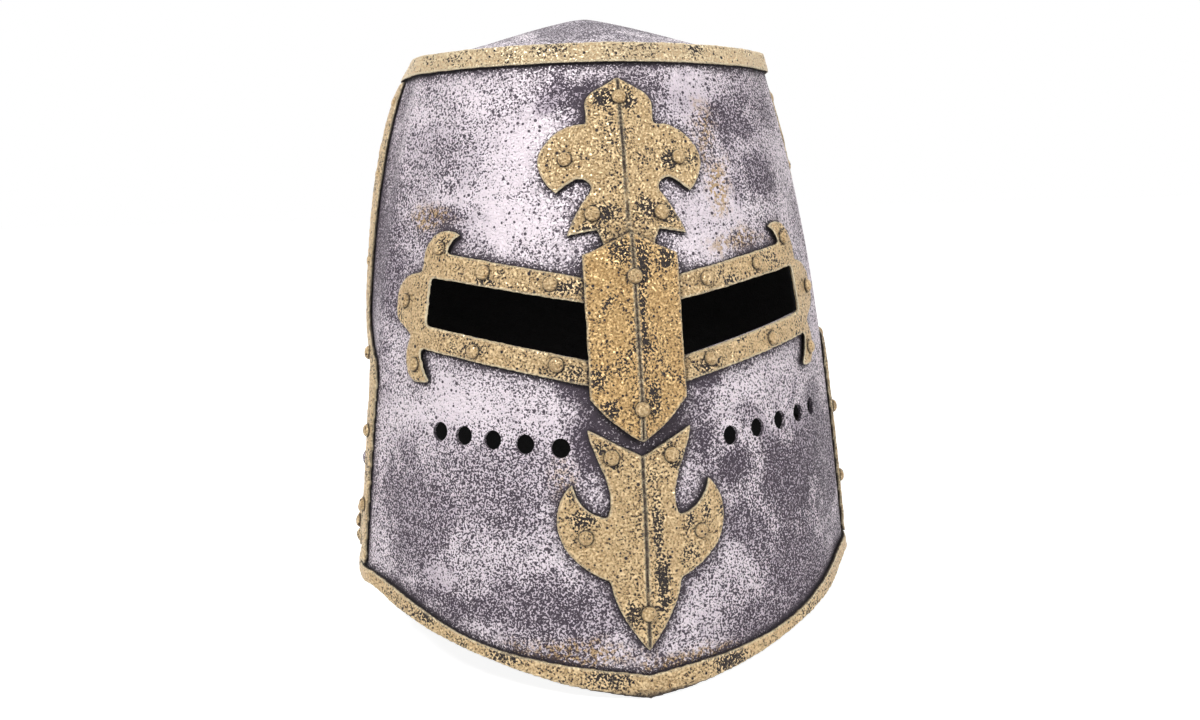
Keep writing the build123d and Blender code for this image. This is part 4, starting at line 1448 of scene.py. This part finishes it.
@dataclass
class ChinStrap:
    """The two halves of the chin strap, its stud and the tubes that hold it off the wall."""

    shop: Workshop
    voxel: float = 0.0008
    passes: int = 3
    dents: Dents = Dents(0.0003, 70.0)
    seed: int = 70
    pivot_y: float = -0.008
    pivot_z: float = 0.092
    path_half: float = 0.006
    path_facing: float = 0.6
    path_degrees: tuple[int, int, int] = (176, 366, 2)
    path_least: int = 4
    stitch_inset: float = 0.0078
    stitch_step: float = 0.0034
    stitch_length: float = 0.0024
    stitch_radius: float = 0.00035

    def build(self) -> None:
        """Makes the strap and dresses its metal."""
        for index, side in enumerate(("left", "right")):
            node = f"chin_strap_{side}"
            piece = self.shop.softened(node, f"{node}_leather", self.voxel, self.passes)
            self.shop.dented(piece, self.dents, self.seed + index)
            path = self._outer_path(piece)
            self.shop.hand_over(piece, Body.STRAP, Slot.STRAP, self.shop.strap_leather, (node,))
            self._stitches(side, path)
            self.shop.dress(f"strap_spacer_{side}", Slot.BRASS, self.shop.brass)
        self.shop.dress("strap_stud", Slot.BRASS, self.shop.brass)

    def _outer_path(self, piece: Object) -> list[Pair]:
        """Follows the strap's outer face round its bend.

        Args:
            piece: One half of the strap.

        Returns:
            Points of X and Z on that face, from the rivet to the free end.
        """
        points, normals = read(piece.data), read(piece.data, "normal")
        middle = np.abs(points[:, 1] - self.pivot_y) < self.path_half
        arms = points[middle][:, [0, 2]] - np.array([0.0, self.pivot_z])
        facing = (normals[middle][:, [0, 2]] * arms).sum(axis=1)
        arms = arms[facing > self.path_facing * np.hypot(arms[:, 0], arms[:, 1])]
        angles = np.degrees(np.arctan2(arms[:, 1], arms[:, 0])) % 360
        path = []
        for degrees in range(*self.path_degrees):
            found = arms[np.abs(angles - degrees) < self.path_degrees[2] / 2]
            if len(found) >= self.path_least:
                spot = found.mean(axis=0)
                path.append((float(spot[0]), float(spot[1] + self.pivot_z)))
        return path

    def _stitches(self, side: str, path: list[Pair]) -> None:
        """Sews a row of stitches along both edges of a strap half.

        Args:
            side: left or right.
            path: The strap's outer face, from _outer_path.
        """
        curve = bpy.data.curves.new("rows", "CURVE")
        curve.dimensions = "3D"
        for row in (-1, 1):
            line = curve.splines.new("POLY")
            line.points.add(len(path) - 1)
            for point, (x, z) in zip(line.points, path):
                point.co = (x, self.pivot_y + row * self.stitch_inset, z, 1.0)
        rows = bpy.data.objects.new("rows", curve)
        mesh = bpy.data.meshes.new(f"strap_stitches_{side}")
        mesh.from_pydata([(0.0, 0.0, 0.0)], [], [])
        piece = self.shop.place(mesh, mesh.name)
        sizes = {"Step": self.stitch_step, "Length": self.stitch_length, "Radius": self.stitch_radius}
        self.shop.grown(piece, self._tree(), {"Rows": rows} | sizes)
        bpy.data.objects.remove(rows)
        self.shop.hand_over(piece, Body.STRAP, Slot.PAD, self.shop.thread)

    def _tree(self) -> NodeTree:
        """Builds the tree that sews stitches along rows.

        Returns:
            The Geometry Nodes tree.
        """
        inputs = {"Start": "Geometry", "Rows": "Object"} | floats("Step", "Length", "Radius")
        tree = Group("Stitches along rows", inputs, {"Stitches": "Geometry"}, "Geometry")
        given = tree.given
        rows = tree.value("GeometryNodeObjectInfo", {"Object": given["Rows"]}, "Geometry")
        pitch = {"Curve": rows, "Length": given["Step"]}
        spots = tree.add("GeometryNodeCurveToPoints", pitch, mode="LENGTH")
        ball = tree.value("GeometryNodeMeshUVSphere", {"Segments": 6, "Rings": 5, "Radius": 1.0})
        across, along = given["Radius"], given["Length"] * 0.5
        stretch = tree.value("ShaderNodeCombineXYZ", {0: across, 1: across, 2: along})
        tangent = {"Vector": Value(tree, spots.outputs["Tangent"])}
        turn = tree.value("FunctionNodeAlignRotationToVector", tangent, axis="Z")
        places = {"Points": Value(tree, spots.outputs["Points"]), "Instance": ball}
        places |= {"Rotation": turn, "Scale": stretch}
        sewn = tree.value("GeometryNodeInstanceOnPoints", places)
        thread = {0: tree.value("GeometryNodeRealizeInstances", {0: sewn}), "Material": self.shop.thread}
        return tree.close(Stitches=tree.value("GeometryNodeSetMaterial", thread))


@dataclass(frozen=True)
class Lamp:
    """One soft area lamp that looks at the helm."""

    name: str
    place: Triple
    size: float
    power: float

    def build(self, target: Vector) -> None:
        """Hangs the lamp.

        Args:
            target: The point it looks at.
        """
        data = bpy.data.lights.new(self.name, "AREA")
        data.size = self.size
        data.energy = self.power
        lamp = bpy.data.objects.new(self.name, data)
        bpy.context.scene.collection.objects.link(lamp)
        lamp.location = self.place
        lamp.rotation_euler = (target - Vector(self.place)).to_track_quat("-Z", "Y").to_euler()


@dataclass
class Studio:
    """The camera at the photograph's angle, the pale floor and the soft light."""

    camera_place: Triple = (-0.10787, -0.67593, 0.22260)
    camera_right: Triple = (0.98616289, -0.16384052, -0.02527905)
    camera_up: Triple = (0.04536753, 0.12005439, 0.99173017)
    camera_forward: Triple = (0.15945072, 0.97915434, -0.12582622)
    focal_length: float = 39.165
    sensor_width: float = 36.0
    nearest: float = 0.01
    target: Triple = (0.0, 0.0, 0.15)
    floor_size: float = 30.0
    ambient: float = 0.27
    floor_color: float = 0.5
    floor_bounce: float = 0.5
    floor_glow: float = 0.9
    floor_rough: float = 0.9
    lamps: tuple[Lamp, ...] = (
        Lamp("key_lamp", (-1.0, -1.2, 1.6), 0.4, 33.0),
        Lamp("fill_lamp", (1.3, -1.3, 0.9), 0.5, 13.0),
        Lamp("back_lamp", (0.3, 1.6, 1.3), 1.2, 8.0),
    )

    def build(self) -> None:
        """Sets up camera, floor, world and lamps."""
        self._camera()
        self._floor()
        self._world()
        for lamp in self.lamps:
            lamp.build(Vector(self.target))
        bpy.context.scene.view_settings.view_transform = "Standard"

    def _camera(self) -> None:
        """Places the camera."""
        data = bpy.data.cameras.new("camera")
        data.lens = self.focal_length
        data.sensor_width = self.sensor_width
        data.sensor_fit = "HORIZONTAL"
        data.clip_start = self.nearest
        camera = bpy.data.objects.new("camera", data)
        bpy.context.scene.collection.objects.link(camera)
        rows = (Vector(self.camera_right), Vector(self.camera_up), -Vector(self.camera_forward))
        turn = Matrix(rows).transposed().to_4x4()
        camera.matrix_world = Matrix.Translation(Vector(self.camera_place)) @ turn
        bpy.context.scene.camera = camera

    def _backdrop_share(self, tree: Tree) -> Value:
        """How far a ray sees the white backdrop and not only its light.

        Args:
            tree: The tree that the nodes go into.

        Returns:
            1 for what the camera, gloss and glass see, and 0 for light.
        """
        path = tree.add("ShaderNodeLightPath")
        rays = (f"Is {kind} Ray" for kind in ("Camera", "Glossy", "Transmission"))
        camera, gloss, glass = (Value(tree, path.outputs[ray]) for ray in rays)
        return camera.larger(gloss).larger(glass)

    def _floor(self) -> None:
        """Lays the pale floor, which keeps the helm's shadow."""
        half = self.floor_size / 2
        corners = [(-half, -half, 0.0), (half, -half, 0.0), (half, half, 0.0), (-half, half, 0.0)]
        mesh = bpy.data.meshes.new("floor")
        mesh.from_pydata(corners, [], [(0, 1, 2, 3)])
        floor = bpy.data.objects.new("floor", mesh)
        bpy.context.scene.collection.objects.link(floor)
        material = bpy.data.materials.new("pale_floor")
        material.use_nodes = True
        tree = Tree(material.node_tree)
        inputs = material.node_tree.nodes["Principled BSDF"].inputs
        seen = self._backdrop_share(tree)
        bounce, colour = ((value, value, value, 1.0) for value in (self.floor_bounce, self.floor_color))
        tree.feed(inputs["Base Color"], tree.mix(seen, bounce, colour))
        tree.feed(inputs["Roughness"], self.floor_rough)
        tree.feed(inputs["Specular IOR Level"], 0.0)
        tree.feed(inputs["Emission Color"], WHITE)
        tree.feed(inputs["Emission Strength"], seen * self.floor_glow)
        mesh.materials.append(material)

    def _world(self) -> None:
        """Makes the world white to look at and soft as light."""
        world = bpy.data.worlds.new("studio")
        bpy.context.scene.world = world
        world.use_nodes = True
        tree = Tree(world.node_tree)
        inputs = world.node_tree.nodes["Background"].inputs
        tree.feed(inputs["Color"], WHITE)
        tree.feed(inputs["Strength"], self._backdrop_share(tree) * (1.0 - self.ambient) + self.ambient)


def main() -> None:
    """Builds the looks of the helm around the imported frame."""
    logging.basicConfig(level=logging.INFO, format="%(name)s: %(message)s")
    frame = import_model()
    Studio().build()
    shop = Workshop(frame)
    for maker in (Shell(shop), RivetRows(shop), Lining(shop), ChinStrap(shop)):
        maker.build()


if __name__ == "__main__":
    main()
